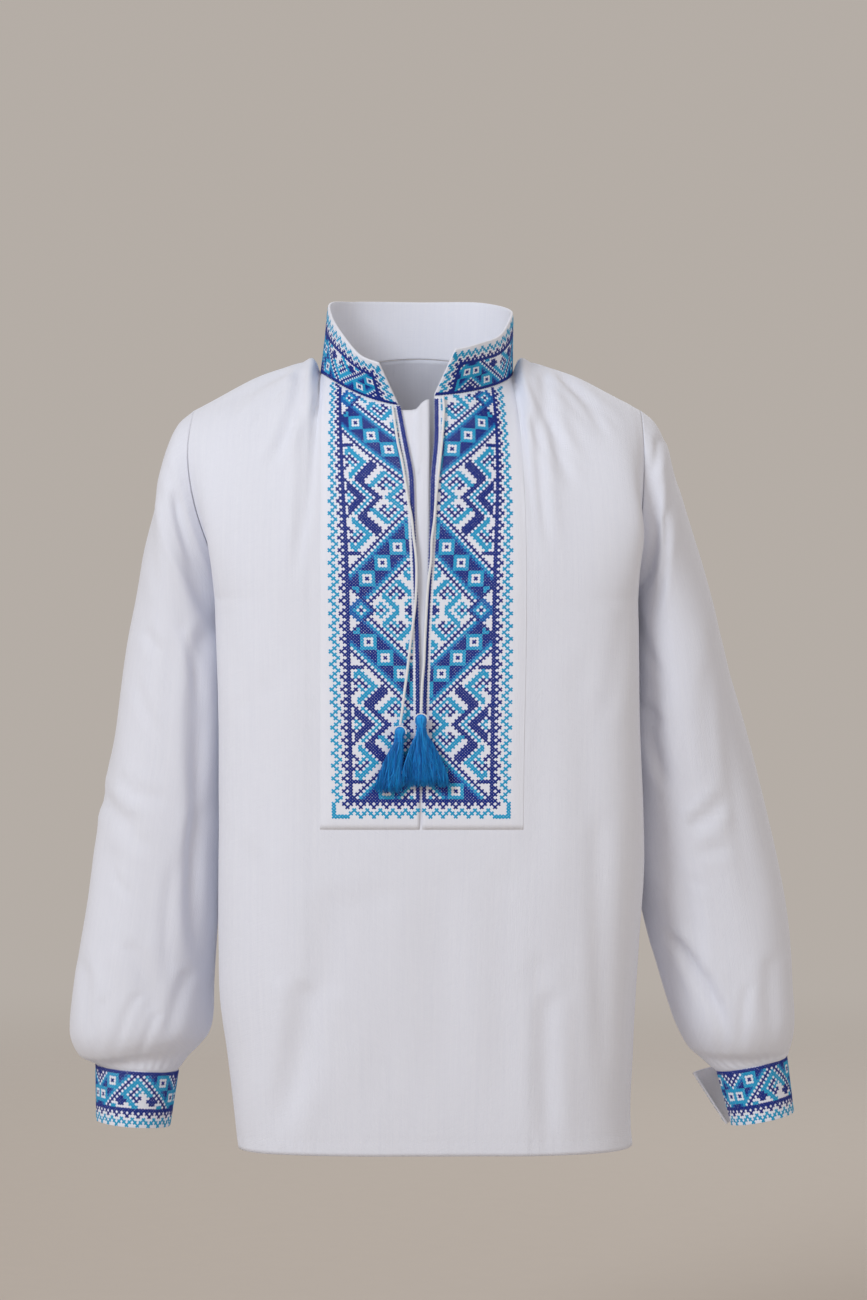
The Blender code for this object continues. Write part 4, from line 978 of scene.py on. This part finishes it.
sleeveCreases = {
    (-1, "front"): (
        (-187.0, -74.0, -184.0, -160.0, 2.0, 10.0, 1.3),
        (-176.0, -62.0, -146.0, -150.0, 4.0, 7.0, 1.1),
        (-180.0, -70.0, -158.0, -150.0, 5.0, 6.0, 0.9),
        (-168.0, -170.0, -152.0, -252.0, -3.0, 7.0, 1.1),
        (-151.0, -227.0, -158.0, -412.0, 3.0, 8.0, 1.2),
        (-200.0, -214.0, -176.0, -262.0, 3.0, 8.0, 0.9),
        (-212.0, -296.0, -184.0, -310.0, -2.0, 5.0, 1.0),
        (-218.0, -352.0, -196.0, -372.0, 2.0, 7.0, 0.8),
        (-170.0, -340.0, -176.0, -440.0, 4.0, 9.0, 1.0),
        (-196.0, -436.0, -214.0, -484.0, 3.0, 7.0, 1.1),
        (-182.0, -450.0, -196.0, -488.0, 2.0, 6.0, 1.0),
        (-222.0, -440.0, -226.0, -486.0, 2.0, 7.0, 1.1),
        (-193.0, -178.0, -178.0, -198.0, 2.0, 9.0, 0.9),
        (-214.0, -284.0, -172.0, -300.0, 4.0, 9.0, 1.2),
        (-226.0, -318.0, -184.0, -340.0, -4.0, 11.0, 1.0),
        (-238.0, -414.0, -236.0, -482.0, -3.0, 10.0, 1.2),
        (-206.0, -400.0, -186.0, -470.0, -5.0, 14.0, 1.2),
        (-160.0, -420.0, -176.0, -478.0, 3.0, 10.0, 1.4),
        (-215.0, -330.0, -222.0, -440.0, 4.0, 16.0, 0.9),
    ),
    (-1, "back"): (
        (-200.0, -150.0, -170.0, -240.0, 5.0, 12.0, 1.2),
        (-228.0, -330.0, -170.0, -300.0, -4.0, 11.0, 1.3),
        (-234.0, -400.0, -224.0, -474.0, 4.0, 12.0, 1.4),
        (-170.0, -380.0, -184.0, -470.0, -4.0, 14.0, 1.4),
    ),
    (1, "front"): (
        (169.0, -100.0, 161.0, -156.0, -2.0, 7.0, 1.4),
        (176.0, -92.0, 168.0, -176.0, -3.0, 6.0, 0.9),
        (158.0, -168.0, 176.0, -216.0, 3.0, 7.0, 1.1),
        (165.0, -249.0, 180.0, -294.0, 2.0, 6.0, 1.2),
        (192.0, -317.0, 217.0, -293.0, 2.0, 6.0, 1.2),
        (186.0, -356.0, 210.0, -366.0, -2.0, 6.0, 0.8),
        (176.0, -392.0, 216.0, -461.0, -5.0, 5.0, 1.4),
        (188.0, -404.0, 204.0, -462.0, -3.0, 6.0, 1.0),
        (236.0, -430.0, 232.0, -482.0, 2.0, 7.0, 1.1),
        (216.0, -440.0, 222.0, -484.0, 2.0, 6.0, 1.0),
        (206.0, -200.0, 214.0, -300.0, 3.0, 12.0, 0.8),
        (184.0, -66.0, 166.0, -140.0, -3.0, 9.0, 0.9),
        (156.0, -226.0, 180.0, -248.0, 2.0, 7.0, 1.2),
        (197.0, -338.0, 228.0, -331.0, 2.0, 9.0, 1.1),
        (213.0, -164.0, 244.0, -394.0, 4.0, 14.0, 1.1),
        (205.0, -420.0, 232.0, -478.0, 4.0, 12.0, 1.2),
        (252.0, -410.0, 256.0, -480.0, 3.0, 12.0, 1.3),
        (190.0, -356.0, 200.0, -440.0, -3.0, 12.0, 0.9),
    ),
    (1, "back"): (
        (214.0, -150.0, 180.0, -240.0, -5.0, 12.0, 1.2),
        (246.0, -330.0, 190.0, -300.0, 4.0, 11.0, 1.3),
        (258.0, -400.0, 250.0, -474.0, -4.0, 12.0, 1.4),
        (196.0, -380.0, 214.0, -470.0, 4.0, 14.0, 1.4),
    ),
}


# Point of one sleeve ring: a rounded section between its outer and inner point.
def sleeveRing(turn, read):
    outerX, outerZ, innerX, innerZ, front, back = np.moveaxis(read, -1, 0)
    across, depth = np.cos(np.radians(turn)), np.sin(np.radians(turn))
    square = sleeveCut["squareness"]
    reach = (np.abs(across) ** square + np.abs(depth) ** square) ** (-1 / square)
    x = (outerX + innerX) / 2 + (outerX - innerX) / 2 * across * reach
    z = (outerZ + innerZ) / 2 + (outerZ - innerZ) / 2 * across * reach
    y = (front + back) / 2 - (back - front) / 2 * depth * reach
    return np.stack([x, y, z], -1)


# Point of a sleeve: a turn of 0 is its outer side and 90 its front, and u runs down it from 0 to 1.
def sleeveSurface(turn, u, side):
    turn, u = np.broadcast_arrays(np.asarray(turn, float), np.asarray(u, float))
    sideY, reach = bodyCut["sideY"], bodyCut["armholeReach"]
    outer = (armholeX(0.0, side), bodyCut["tipZ"])
    inner = (armholeX(1.0, side), bodyCut["chestZ"])
    rows = np.array((outer + inner + (sideY - reach, sideY + reach),) + sleeveCut[side], float)
    ring = sleeveRing(turn, through(np.arange(len(rows)), rows, u * (len(rows) - 1)))
    start = sleeveRing(turn, np.broadcast_to(rows[0], u.shape + (6,)))
    fade = (1 - ease(u / sleeveCut["armholeFade"]))[..., None]
    return ring + (armhole(turn, side) - start) * fade


# Point of a sleeve with folds, finer creases, gathers over the cuff and puckers at the armhole.
def sleeveCloth(turn, u, side):
    turn, u = np.broadcast_arrays(np.asarray(turn, float), np.asarray(u, float))
    point = sleeveSurface(turn, u, side)

    def surface(a, b):
        return sleeveSurface(a * 180.0, np.clip(b, 0, 1), side)

    normal = normalOf(surface, turn / 180.0, u, -side)
    x, z = point[..., 0], point[..., 2]
    front = ease(0.5 + 2.2 * np.sin(np.radians(turn)))
    fade = ease(u / 0.08) * ease((1 - u) / 0.1)
    lift = creases(x, z, sleeveFolds[side, "front"]) + creases(x, z, sleeveCreases[side, "front"])
    behind = creases(x, z, sleeveFolds[side, "back"]) + creases(x, z, sleeveCreases[side, "back"])
    angle = turn / 180.0 * np.pi
    lift = lift * front + behind * (1 - front)
    ripple = softNoise(np.cos(angle) * 1.1 + x / 300.0, np.sin(angle) * 1.1 + z / 110.0, 41 + side)
    broad = softNoise(np.cos(angle) * 0.5, np.sin(angle) * 0.5 + z / 240.0, 47 + side)
    lift = (lift + sleeveCut["undulation"] * broad + sleeveCut["ripple"] * ripple) * fade
    uneven = 0.7 * softNoise(np.cos(angle), np.sin(angle), 53 + side, 6)
    gather = np.sin(sleeveCut["cuffGathers"] * angle + uneven)
    lift = lift + sleeveCut["cuffGather"] * gather * hump((1 - u) / 0.12) * ease((1 - u) / 0.02)
    cap = np.sin(46 * angle + 2.0 * uneven) * ease(0.6 + np.cos(angle))
    lift = lift + sleeveCut["capPucker"] * cap * hump(u / 0.05) * ease(u / 0.012)
    return point + normal * lift[..., None] + side * np.array([sleeveCut["step"], 0.0, 0.0])


# A sleeve: one grid that closes round under the arm, with a last ring tucked into the cuff.
def makeSleeve(side):
    turn = np.linspace(-180.0, 180.0, sleeveCut["columns"])
    u = 1 - (1 - np.linspace(0.0, 1.0, sleeveCut["rows"])) ** 1.15
    grid = sleeveCloth(turn[None, :], u[:, None], side)
    grid[:, -1] = grid[:, 0]
    middle = grid[-1].mean(0)
    tuck = middle + (grid[-1] - middle) * 0.93 - np.array([0.0, 0.0, 2.5])
    whole = np.concatenate([grid, tuck[None]])
    return clothFromGrids("sleeve" + sideNames[side].capitalize(), [whole], side > 0)


sleeves = {}
for side in (-1, 1):
    sleeves[side] = makeSleeve(side)
    addWall(sleeves[side], panelWall)
    seat(sleeves[side], [bodyPoplin], "sleeve_" + sideNames[side])
print("sleeves made")


# Embroidery charts: whole arrays of thread numbers, 0 for bare cloth, 1 navy, 2 blue and 3 turquoise.
letters = {".": 0, "n": 1, "b": 2, "t": 3}
spiralRings = "t.n.tt"
squareRings = "n.t"
borderWidth = 6


# Rings of a motif, read outwards from its middle, one letter for each stitch of distance.
def rings(chart, where, distance, colours):
    for step, letter in enumerate(colours):
        chart[where & (distance == step)] = letters[letter]


# Border: a turquoise zigzag at the edge, then navy points with a white diamond in each on a navy rail.
def border(depth, along):
    peak = np.abs(along % 4 - 2)
    depth, peak = np.broadcast_arrays(depth, peak)
    chart = np.zeros(depth.shape, int)
    chart[depth == 2 - peak] = 3
    chart[(depth == 5 - peak) | (depth == 5)] = 1
    return chart


# Spiral: a turquoise ring, open in one quarter, that a slanting link joins to its heart past a navy hook.
# The two turns are 1 or -1 and mirror it along each direction.
def spiral(chart, where, u, p, middleU, middleP, turnU, turnP):
    a, b = (u - middleU) * turnU, (p - middleP) * turnP
    reach = np.abs(a) + np.abs(b)
    rings(chart, where, reach, spiralRings)
    ring = spiralRings.rindex(".")
    chart[where & (a < 0) & (b < 0) & (reach >= ring) & (reach < len(spiralRings))] = 0
    inside = where & (b < 0) & (a >= 0) & (reach > 0) & (reach <= ring)
    chart[inside] = np.where(np.abs(a + b) < 1, 3, 0)[inside]


# Squares in a row along a diagonal band: navy hearts in white and turquoise frames, a white line at both rims
# with a navy chain down it.
def squareBand(chart, where, across, along, half, period):
    step = (along + period // 2) % period - period // 2
    ring = (np.abs(across) + np.abs(step)) // 2
    rim = np.abs(across) - half
    chart[where] = 1
    chart[where & (rim == -3)] = 2
    rings(chart, where, ring, squareRings)
    chart[where & (rim == -2)] = 3
    chart[where & (rim >= -1)] = 0
    chart[where & (rim == 0)] = 1


# Chest repeat in stitches: rows from one mirror line to the next, the first mirror line, where the slanting
# band starts, half its width and the step of its squares
chestRepeat = {"rows": 36, "middle": 29, "bandStart": 23, "bandHalf": 8, "squareStep": 10}


# Main motif of the chest: u counts from the rail to the slit and r up the rows, p is the distance from one
# mirror line and far from the next. The slanting band runs along d, its distance from the corner of both.
def chestMotif(u, r):
    u, r = np.broadcast_arrays(u, r)
    rows, half = chestRepeat["rows"], chestRepeat["bandHalf"]
    p = np.abs((r - chestRepeat["middle"] + rows) % (2 * rows) - rows)
    far = rows - p
    d, e = p + u - chestRepeat["bandStart"], p - u
    chart = np.zeros(u.shape, int)
    big = d < -1
    heart = u + p
    rings(chart, big & (p < 6), heart, "..t.nnn.t.nn")
    chart[big & (e >= 0) & (e <= 3) & (heart >= 10)] = 1
    spiral(chart, big & (heart > 11) & (e < -1), u, p, 13, 4, 1, 1)
    rings(chart, big & (np.abs(u - 13) + np.abs(p - 4) > 6), np.abs(u - 19) + p, "...nn")
    spiral(chart, big & (e > 4), u, p, 2, 12, 1, 1)
    chart[big & (p == 18) & (u < 4)] = 1
    chart[big & (u == 0)] = 0
    chart[big & (u == 0) & (p % 4 == 2)] = 1
    band = (d >= -1) & (d <= 2 * half + 1)
    squareBand(chart, band, d - half, e - 1, half, chestRepeat["squareStep"])
    inner = d > 2 * half + 1
    spiral(chart, inner, u, far, 14, 5, -1, 1)
    rings(chart, inner & (far < 4) & (u < 12), np.abs(u - 9) + far, "n.t")
    rings(chart, inner & (u > 16), np.abs(u - 20) + far, "..nn.t")
    rings(chart, inner & (u > 16), np.abs(u - 20) + np.abs(far - 12), "nn.tt")
    knot = u + far <= 7
    chart[knot] = 0
    rings(chart, knot, np.abs(u - 3) + far, "n.tbb")
    chart[knot & (u + far > 6)] = 1
    return chart


# Chart of a chest half: borders down the edge and along the bottom, a rail at the slit and the motif between.
def chestChart(columns, rows):
    c, r = np.arange(columns)[None, :], np.arange(rows)[:, None]
    depth = np.minimum(c, r)
    along = np.where(c <= r, r, c)
    chart = np.where(depth < borderWidth, border(depth, along), chestMotif(c - borderWidth, r))
    corner = (c < 4) & (r < 4)
    chart = np.where(corner, np.where(depth < 1, 3, 0), chart)
    slit = columns - 1 - c
    return np.where((slit < 2) & (r >= borderWidth), np.where(slit == 0, 1, 0), chart)


# Repeat of the collar and cuffs in stitches, in the same words
bandRepeat = {"columns": 16, "bandHalf": 6, "squareStep": 10}


# Narrow motif of the collar and cuffs: u counts from the rail and q along, with the chest's p, far, d and e.
def bandMotif(u, q, width):
    u, q = np.broadcast_arrays(u, q)
    columns, half = bandRepeat["columns"], bandRepeat["bandHalf"]
    p = np.abs((q + columns) % (2 * columns) - columns)
    far = columns - p
    d, e = p + u - width, p - u
    chart = np.zeros(u.shape, int)
    near = d < -1
    spiral(chart, near, u, q - (q + columns) // (2 * columns) * 2 * columns, 4, 0, 1, -1)
    chart[near & (e > 1) & (e < 6) & (p + u > 5)] = 1
    chart[near & (e > 7)] = 3
    band = (d >= -1) & (d <= 2 * half + 1)
    squareBand(chart, band, d - half, e - 1, half, bandRepeat["squareStep"])
    beyond = d > 2 * half + 1
    rings(chart, beyond, far + np.abs(u - width + 1), "nn.tt")
    return chart


# Chart of a band: rows from the plain navy line to the zigzag edge, with borders at both ends if asked. Its
# pattern starts some columns in.
def bandChart(columns, rows, endBorders, shift):
    n, r = np.arange(columns)[None, :], np.arange(rows)[:, None]
    fromEdge = rows - 1 - r + 0 * n
    fromEnd = np.minimum(n, columns - 1 - n) + 0 * r
    depth = np.minimum(fromEdge, fromEnd) if endBorders else fromEdge
    along = np.where(depth == fromEdge, n, r)
    motif = bandMotif(fromEdge - borderWidth, n + shift, rows - borderWidth - 1)
    return np.where(r < 1, 1, np.where(depth < borderWidth, border(depth, along), motif))


stitchCut = {
    "halfWidth": 0.66,
    "under": 0.28,  # ridge height of the lower thread of a cross, and of the upper
    "over": 0.42,
    "draw": 0.10,  # share of a thread's length over which it dips into its hole
    "jitter": 0.05,
    "overshoot": 0.06,
}


# Cross-stitches in the cells of a grid of corners: each cross is two roof-shaped threads over the diagonals.
def crossStitches(name, corners, chart, inside, seed):
    draw = np.random.default_rng(seed)
    near, right, far, left = corners[:-1, :-1], corners[:-1, 1:], corners[1:, 1:], corners[1:, :-1]
    middle = (near + right + far + left) / 4
    normal = np.cross(far - near, left - right)
    normal = normal / np.maximum(np.linalg.norm(normal, axis=-1, keepdims=True), 1e-9)
    away = middle - np.array([inside[0], inside[1], 0.0])
    away[..., 2] = 0.0
    if np.nanmean((normal * away).sum(-1)) < 0:
        normal = -normal
    filled = (chart > 0) & np.isfinite(middle).all(-1)
    colour = chart[filled]
    n = normal[filled]
    points, quads, ends, slots = [], [], [], []
    for first, second, ridge in ((near, far, stitchCut["under"]), (right, left, stitchCut["over"])):
        a, b = first[filled], second[filled]
        shake = draw.normal(0.0, stitchCut["jitter"], (2,) + a.shape)
        a = a + (a - b) * stitchCut["overshoot"] + shake[0]
        b = b + (b - a) * stitchCut["overshoot"] + shake[1]
        along = (b - a) / np.linalg.norm(b - a, axis=-1, keepdims=True)
        side = np.cross(along, n)
        side = side / np.linalg.norm(side, axis=-1, keepdims=True) * stitchCut["halfWidth"]
        dip = (b - a) * stitchCut["draw"]
        top = n * ridge
        six = np.stack([a - side, a + side, a + dip + top, b - side, b + side, b - dip + top], 1)
        start = 6 * len(a) * len(points)
        base = start + 6 * np.arange(len(a))[:, None]
        points.append(six.reshape(-1, 3))
        quads.append(np.concatenate([base + (1, 4, 5, 2), base + (3, 0, 2, 5)]))
        ends.append(np.concatenate([base + (0, 1, 2), base + (4, 3, 5)]))
        slots.append(np.tile(colour - 1, 2))
    piece = makeObject(name, np.concatenate(points), quads + ends)
    piece.data.polygons.foreach_set("material_index", np.concatenate(slots + slots))
    print(name, len(colour), "crosses")
    return seat(piece, threads)


# One chest half: its ground lies on the front's own surface, moved out, and turns down at the outer and lower
# edge. Rows of crosses keep their height up the cloth, and the collar seam cuts them.
def makeChestHalf(side):
    column = 1 if side < 0 else 2
    name = sideNames[side].capitalize()
    chestZ, hemZ = bodyCut["chestZ"], bodyCut["hemZ"]
    lowV = 1 + (chestZ - chestCut["bottomZ"]) / (chestZ - hemZ)
    v = np.linspace(chestCut["topV"], lowV, chestCut["rows"])
    outer, slit = shareAt(v, chestCut["edge"], column), shareAt(v, chestCut["slit"], column)
    fine, rest = np.linspace(0.0, 0.05, 6, endpoint=False), np.linspace(0.05, 1.0, chestCut["columns"])
    t = np.concatenate([fine, rest])
    s = outer[:, None] + (slit - outer)[:, None] * t
    rows = np.broadcast_to(v[:, None], s.shape)

    def surface(a, b):
        return bodyCloth(np.clip(a, -1, 1), np.clip(b, 0, 2), -1)

    fromEdge = chestCut["width"] * t[None, :]
    fromBottom = (lowV - v[:, None]) * (chestZ - hemZ)
    rolled = chestCut["rolled"]
    turned = np.hypot(np.maximum(rolled - fromEdge, 0.0), np.maximum(rolled - fromBottom, 0.0)) / rolled
    height = chestCut["edgeHeight"] + (chestCut["height"] - chestCut["edgeHeight"]) * ease(1 - turned)
    grid = surface(s, rows) + normalOf(surface, s, np.maximum(rows, 0.005), 1) * height[..., None]
    ground = clothFromGrids("chestGround" + name, [grid if side < 0 else grid[:, ::-1]], False)
    addWall(ground, chestCut["wall"])
    seat(ground, [groundCloth], "chest_" + sideNames[side])

    stitchLowV = 1 + (chestZ - chestCut["stitchBottomZ"]) / (chestZ - hemZ)
    fineV = np.linspace(stitchLowV, 0.006, 240)
    stitched, edge = shareAt(fineV, chestCut["stitched"], column), shareAt(fineV, chestCut["slit"], column)
    columns, pitch = chestCut["stitchColumns"], chestCut["stitchPitch"]
    share = np.linspace(0.0, chestCut["stitchReach"], columns + 1)
    fineS = stitched[:, None] + (edge - stitched)[:, None] * share
    lines = bodyCloth(fineS, fineV[:, None], -1)
    steps = np.linalg.norm(np.diff(lines, axis=0), axis=-1)
    climbed = np.concatenate([np.zeros((1, columns + 1)), np.cumsum(steps, axis=0)])
    rowCount = int(climbed[-1].max() / pitch)
    heights = np.arange(rowCount + 1) * pitch
    atV = np.stack([np.interp(heights, line, fineV, right=np.nan) for line in climbed.T], 1)
    known = np.isfinite(atV)
    safeV = np.where(known, atV, 1.0)
    low = np.interp(-safeV, -fineV, stitched)
    high = np.interp(-safeV, -fineV, edge)
    atS = low + (high - low) * share[None, :]
    corners = surface(atS, safeV) + normalOf(surface, atS, safeV, 1) * chestCut["height"]
    corners = np.where(known[..., None], corners, np.nan)
    chart = chestChart(columns, rowCount)
    stitches = crossStitches("chestStitches" + name, corners, chart, (4.0, 12.0), 61 + side)
    return ground, stitches


grounds = {side: makeChestHalf(side) for side in (-1, 1)}
print("chest halves made")


# Collar's top edge, from the left front end round the back to the right front end. Columns: turn, x, y, z.
collarCut = {
    "top": (
        (-169.5, -26.6, -79.0, 5.9),
        (-148.0, -40.0, -66.0, 12.8),
        (-123.0, -53.0, -44.0, 29.5),
        (-95.0, -62.0, -10.0, 46.5),
        (-75.0, -63.5, 16.0, 57.0),
        (-45.0, -46.5, 46.0, 61.0),
        (0.0, 2.0, 61.0, 62.0),
        (45.0, 50.5, 47.0, 60.0),
        (75.0, 68.5, 18.0, 52.5),
        (95.0, 68.5, -6.0, 45.5),
        (118.0, 59.5, -38.0, 29.0),
        (140.0, 45.0, -61.0, 21.5),
        (169.5, 27.9, -73.0, 16.2),
    ),
    "gap": 0.15,
    "wall": 1.7,
    "rounding": 0.5,
    "columns": 230,
    "rows": 24,
    "stitchColumns": 177,
    "stitchRows": 18,
    "rim": 2.4,  # bare cloth at the top edge
}


# Point of the collar's outer face: a turn of 0 is the back, h is 0 at the seam and 1 at the top edge.
def collarPoint(turn, h):
    turn, h = np.broadcast_arrays(np.asarray(turn, float), np.asarray(h, float))
    base = np.where((turn < 0)[..., None], neckline(np.abs(turn), -1), neckline(np.abs(turn), 1))
    rows = np.array(collarCut["top"])
    top = through(rows[:, 0], rows[:, 1:], turn)
    base = base + np.array([0.0, 0.0, collarCut["gap"]])
    return base + (top - base) * h[..., None]


# Collar: a standing band with a bare rim, stitched outside.
def makeCollar():
    first, last = collarCut["top"][0][0], collarCut["top"][-1][0]
    turn = np.linspace(first, last, collarCut["columns"])
    grid = collarPoint(turn[None, :], np.linspace(0.0, 1.0, collarCut["rows"])[:, None])
    ground = clothFromGrids("collarBand", [grid], False)
    addWall(ground, collarCut["wall"], collarCut["rounding"])
    seat(ground, [groundCloth], "collar")
    inset = 0.6
    turn = np.linspace(first + inset, last - inset, collarCut["stitchColumns"] + 1)
    height = np.linalg.norm(collarPoint(turn, 1.0) - collarPoint(turn, 0.0), axis=-1)
    reach = 1 - collarCut["rim"] / height
    h = 0.012 + (reach - 0.012) * np.linspace(0.0, 1.0, collarCut["stitchRows"] + 1)[:, None]
    corners = collarPoint(turn[None, :], h)
    chart = bandChart(collarCut["stitchColumns"], collarCut["stitchRows"], True, 11)
    stitches = crossStitches("collarStitches", corners, chart, (0.0, 0.0), 71)
    return ground, stitches


collarPieces = makeCollar()
print("collar made")


# Cuffs. Columns: x, y, z, lean, half width, half depth, height, taper.
cuffCut = {
    -1: (-201.0, 14.0, -495.8, -4.0, 28.6, 28.0, 41.0, 0.88),
    1: (241.6, 14.0, -492.6, 11.5, 26.6, 28.0, 41.0, 0.88),
    # start and end turn, how far the start stands off, and the end at the top and below
    "ends": {-1: (-103.0, 268.0, 3.2, 0.0, 0.0), 1: (-76.0, 262.0, 0.0, 16.0, 3.0)},
    "endTurn": 50.0,
    "wall": 1.6,
    "rounding": 0.45,
    "columns": 132,
    "rows": 26,
    "stitchColumns": {-1: 82, 1: 76},
    "stitchRows": 18,
}


# Point of a cuff's outer face: a turn of 0 is its front and 90 its right side, and h runs down it.
def cuffPoint(turn, h, side):
    x, y, z, lean, halfWidth, halfDepth, height, taper = cuffCut[side]
    start, end, startOff, endOffTop, endOffLow = cuffCut["ends"][side]
    size = 1 + (taper - 1) * h
    endOff = endOffTop + (endOffLow - endOffTop) * h
    lift = startOff * (1 - ease((turn - start) / cuffCut["endTurn"]))
    lift = lift + endOff * (1 - ease((end - turn) / cuffCut["endTurn"]))
    across = (halfWidth * size + lift) * np.sin(np.radians(turn))
    depth = -(halfDepth * size + lift) * np.cos(np.radians(turn))
    lean = np.radians(lean)
    x = x + across * np.cos(lean) + height * h * np.sin(lean)
    z = z + across * np.sin(lean) - height * h * np.cos(lean)
    return np.stack(np.broadcast_arrays(x, y + depth, z), -1)


# Cuff: a band round the wrist whose ends lap or stand open, stitched outside.
def makeCuff(side):
    start, end = cuffCut["ends"][side][:2]
    name = sideNames[side].capitalize()
    turn = np.linspace(start, end, cuffCut["columns"])
    grid = cuffPoint(turn[None, :], np.linspace(0.0, 1.0, cuffCut["rows"])[:, None], side)
    ground = clothFromGrids("cuffBand" + name, [grid], False)
    addWall(ground, cuffCut["wall"], cuffCut["rounding"])
    seat(ground, [groundCloth], "cuff_" + sideNames[side])
    columns, rows = cuffCut["stitchColumns"][side], cuffCut["stitchRows"]
    turn = np.linspace(start + 1.0, end - 1.0, columns + 1)
    corners = cuffPoint(turn[None, :], np.linspace(0.012, 0.985, rows + 1)[:, None], side)
    chart = bandChart(columns, rows, False, 9)
    stitches = crossStitches("cuffStitches" + name, corners, chart, cuffCut[side][:2], 81 + side)
    return ground, stitches


cuffs = {side: makeCuff(side) for side in (-1, 1)}
print("cuffs made")


# Underlap behind the slit
underlapCut = {
    "left": -26.0,
    "right": 9.4,
    "low": -250.0,
    "topZ": -25.0,  # height of its top edge at the left, and how far it climbs to the right
    "topRise": 7.5,
    "behind": 1.15,
    "wall": 0.5,
    "creases": ((-6.0, -48.0, 4.0, -84.0, 2.0, 7.0, 0.7), (-2.0, -90.0, 1.0, -170.0, 1.0, 5.0, 0.4)),
}


# Underlap: a strip on the front's own surface, moved in behind it.
def makeUnderlap():
    left, right = underlapCut["left"], underlapCut["right"]
    x = np.linspace(left, right, 18)[None, :] + np.zeros((90, 1))
    top = underlapCut["topZ"] + underlapCut["topRise"] * ease((x + 3.0) / 11.5)
    z = top + (underlapCut["low"] - top) * np.linspace(0.0, 1.0, 90)[:, None]
    grid = onFront(x, z, creases(x, z, underlapCut["creases"]) - underlapCut["behind"])
    piece = clothFromGrids("underlapStrip", [grid], False)
    addWall(piece, underlapCut["wall"])
    return seat(piece, [bodyPoplin], "underlap")


underlap = makeUnderlap()
print("underlap made")


# Hem stitches
hemStitch = {"count": 150, "length": 2.1, "halfWidth": 0.16, "height": 0.14}


# Running stitches of one panel: short tubes at even steps along a line one hem band above the edge.
def makeHemStitches(face, name):
    v = 2.0 - clothShape["hemBand"] / (bodyCut["chestZ"] - bodyCut["hemZ"])
    dense = np.linspace(-0.995, 0.995, 900)
    line = bodyCloth(dense, np.full_like(dense, v), face)
    steps = np.concatenate([[0.0], np.cumsum(np.linalg.norm(np.diff(line, axis=0), axis=1))])
    middle = np.linspace(2.0, steps[-1] - 2.0, hemStitch["count"])[:, None]
    reach = hemStitch["length"] / 2 * np.linspace(-1.0, 1.0, 4)[None, :]
    s = np.interp(middle + reach, steps, dense)

    def surface(a, b):
        return bodyCloth(np.clip(a, -1, 1), np.clip(b, 0, 2), face)

    height = hemStitch["height"] * np.array([-0.3, 1.0, 1.0, -0.3])
    down = np.full_like(s, v)
    path = surface(s, down) + normalOf(surface, s, down, -face) * height[None, :, None]
    points, wall, ends = tubes(path, hemStitch["halfWidth"], 4)
    piece = makeObject(name, points, [wall, ends])
    return seat(piece, [cordCotton])


hemNames = {-1: "hemStitchesFront", 1: "hemStitchesBack"}
hems = {face: makeHemStitches(face, name) for face, name in hemNames.items()}
print("hem made")


# Studio: a pale floor that fades into a pale surround, a large soft key light, a fill and a light from behind
studio = {
    "floorZ": -0.80,
    "floorRadius": 4.0,
    "fadeFrom": 1.0,  # the floor melts into the surround between this radius and its edge
    "floor": (0.60, 0.54, 0.48, 1.0),
    "surround": (0.46, 0.418, 0.38, 1.0),
    "surroundStrength": 1.0,
    "lightColour": (0.86, 0.92, 1.0),
    # name: place, aimed at, size, power
    "lights": {
        "keyLight": ((-1.7, -2.2, 1.3), (0.0, 0.0, -0.2), 1.2, 46.0),
        "fillLight": ((2.0, -2.0, 0.3), (0.0, 0.0, -0.25), 2.2, 8.0),
        "backLight": ((0.6, 2.4, 1.3), (0.0, 0.0, -0.2), 2.0, 22.0),
    },
}


# Surround, lights turned to what they are aimed at, and a round floor whose alpha falls off to its edge.
def makeStudio():
    world = bpy.data.worlds.new("surround")
    world.use_nodes = True
    sky = world.node_tree.nodes["Background"]
    sky.inputs["Color"].default_value = studio["surround"]
    sky.inputs["Strength"].default_value = studio["surroundStrength"]
    bpy.context.scene.world = world
    for name, (place, aim, size, power) in studio["lights"].items():
        lamp = bpy.data.lights.new(name, "AREA")
        lamp.shape = "DISK"
        lamp.size = size
        lamp.energy = power
        lamp.color = studio["lightColour"]
        light = bpy.data.objects.new(name, lamp)
        away = np.array(place) - np.array(aim)
        light.location = place
        pitch = math.atan2(math.hypot(away[0], away[1]), away[2])
        light.rotation_euler = (pitch, 0.0, math.atan2(away[0], -away[1]))
        bpy.context.scene.collection.objects.link(light)
    turn = np.linspace(0.0, 2 * np.pi, 96, endpoint=False)
    radius = studio["floorRadius"] / mm
    rim = np.stack([np.cos(turn) * radius, np.sin(turn) * radius, 0 * turn + studio["floorZ"] / mm], -1)
    floor = makeObject("paleFloor", rim, [np.arange(96)[None, :]])
    finish = Finish("paleFloorFinish", 0.9, Specular_IOR_Level=0.1)
    place = finish.node("TexCoord", output=3)
    grain = finish.noise(place, (40.0, 40.0, 40.0))
    base = studio["floor"]
    finish.set("Base Color", finish.blend(grain, base, tuple(0.97 * part for part in base[:3]) + (1.0,)))
    flat = finish.node("VectorMath", {"operation": "MULTIPLY"}, i0=place, i1=(1.0, 1.0, 0.0))
    radius = finish.node("VectorMath", {"operation": "LENGTH"}, 1, i0=flat)
    near, edge = studio["fadeFrom"], studio["floorRadius"]
    soft = {"interpolation_type": "SMOOTHSTEP"}
    finish.set("Alpha", finish.node("MapRange", soft, i0=radius, i1=near, i2=edge, i3=1.0, i4=0.0))
    floor.data.materials.append(finish.material)


makeStudio()
print("studio made")
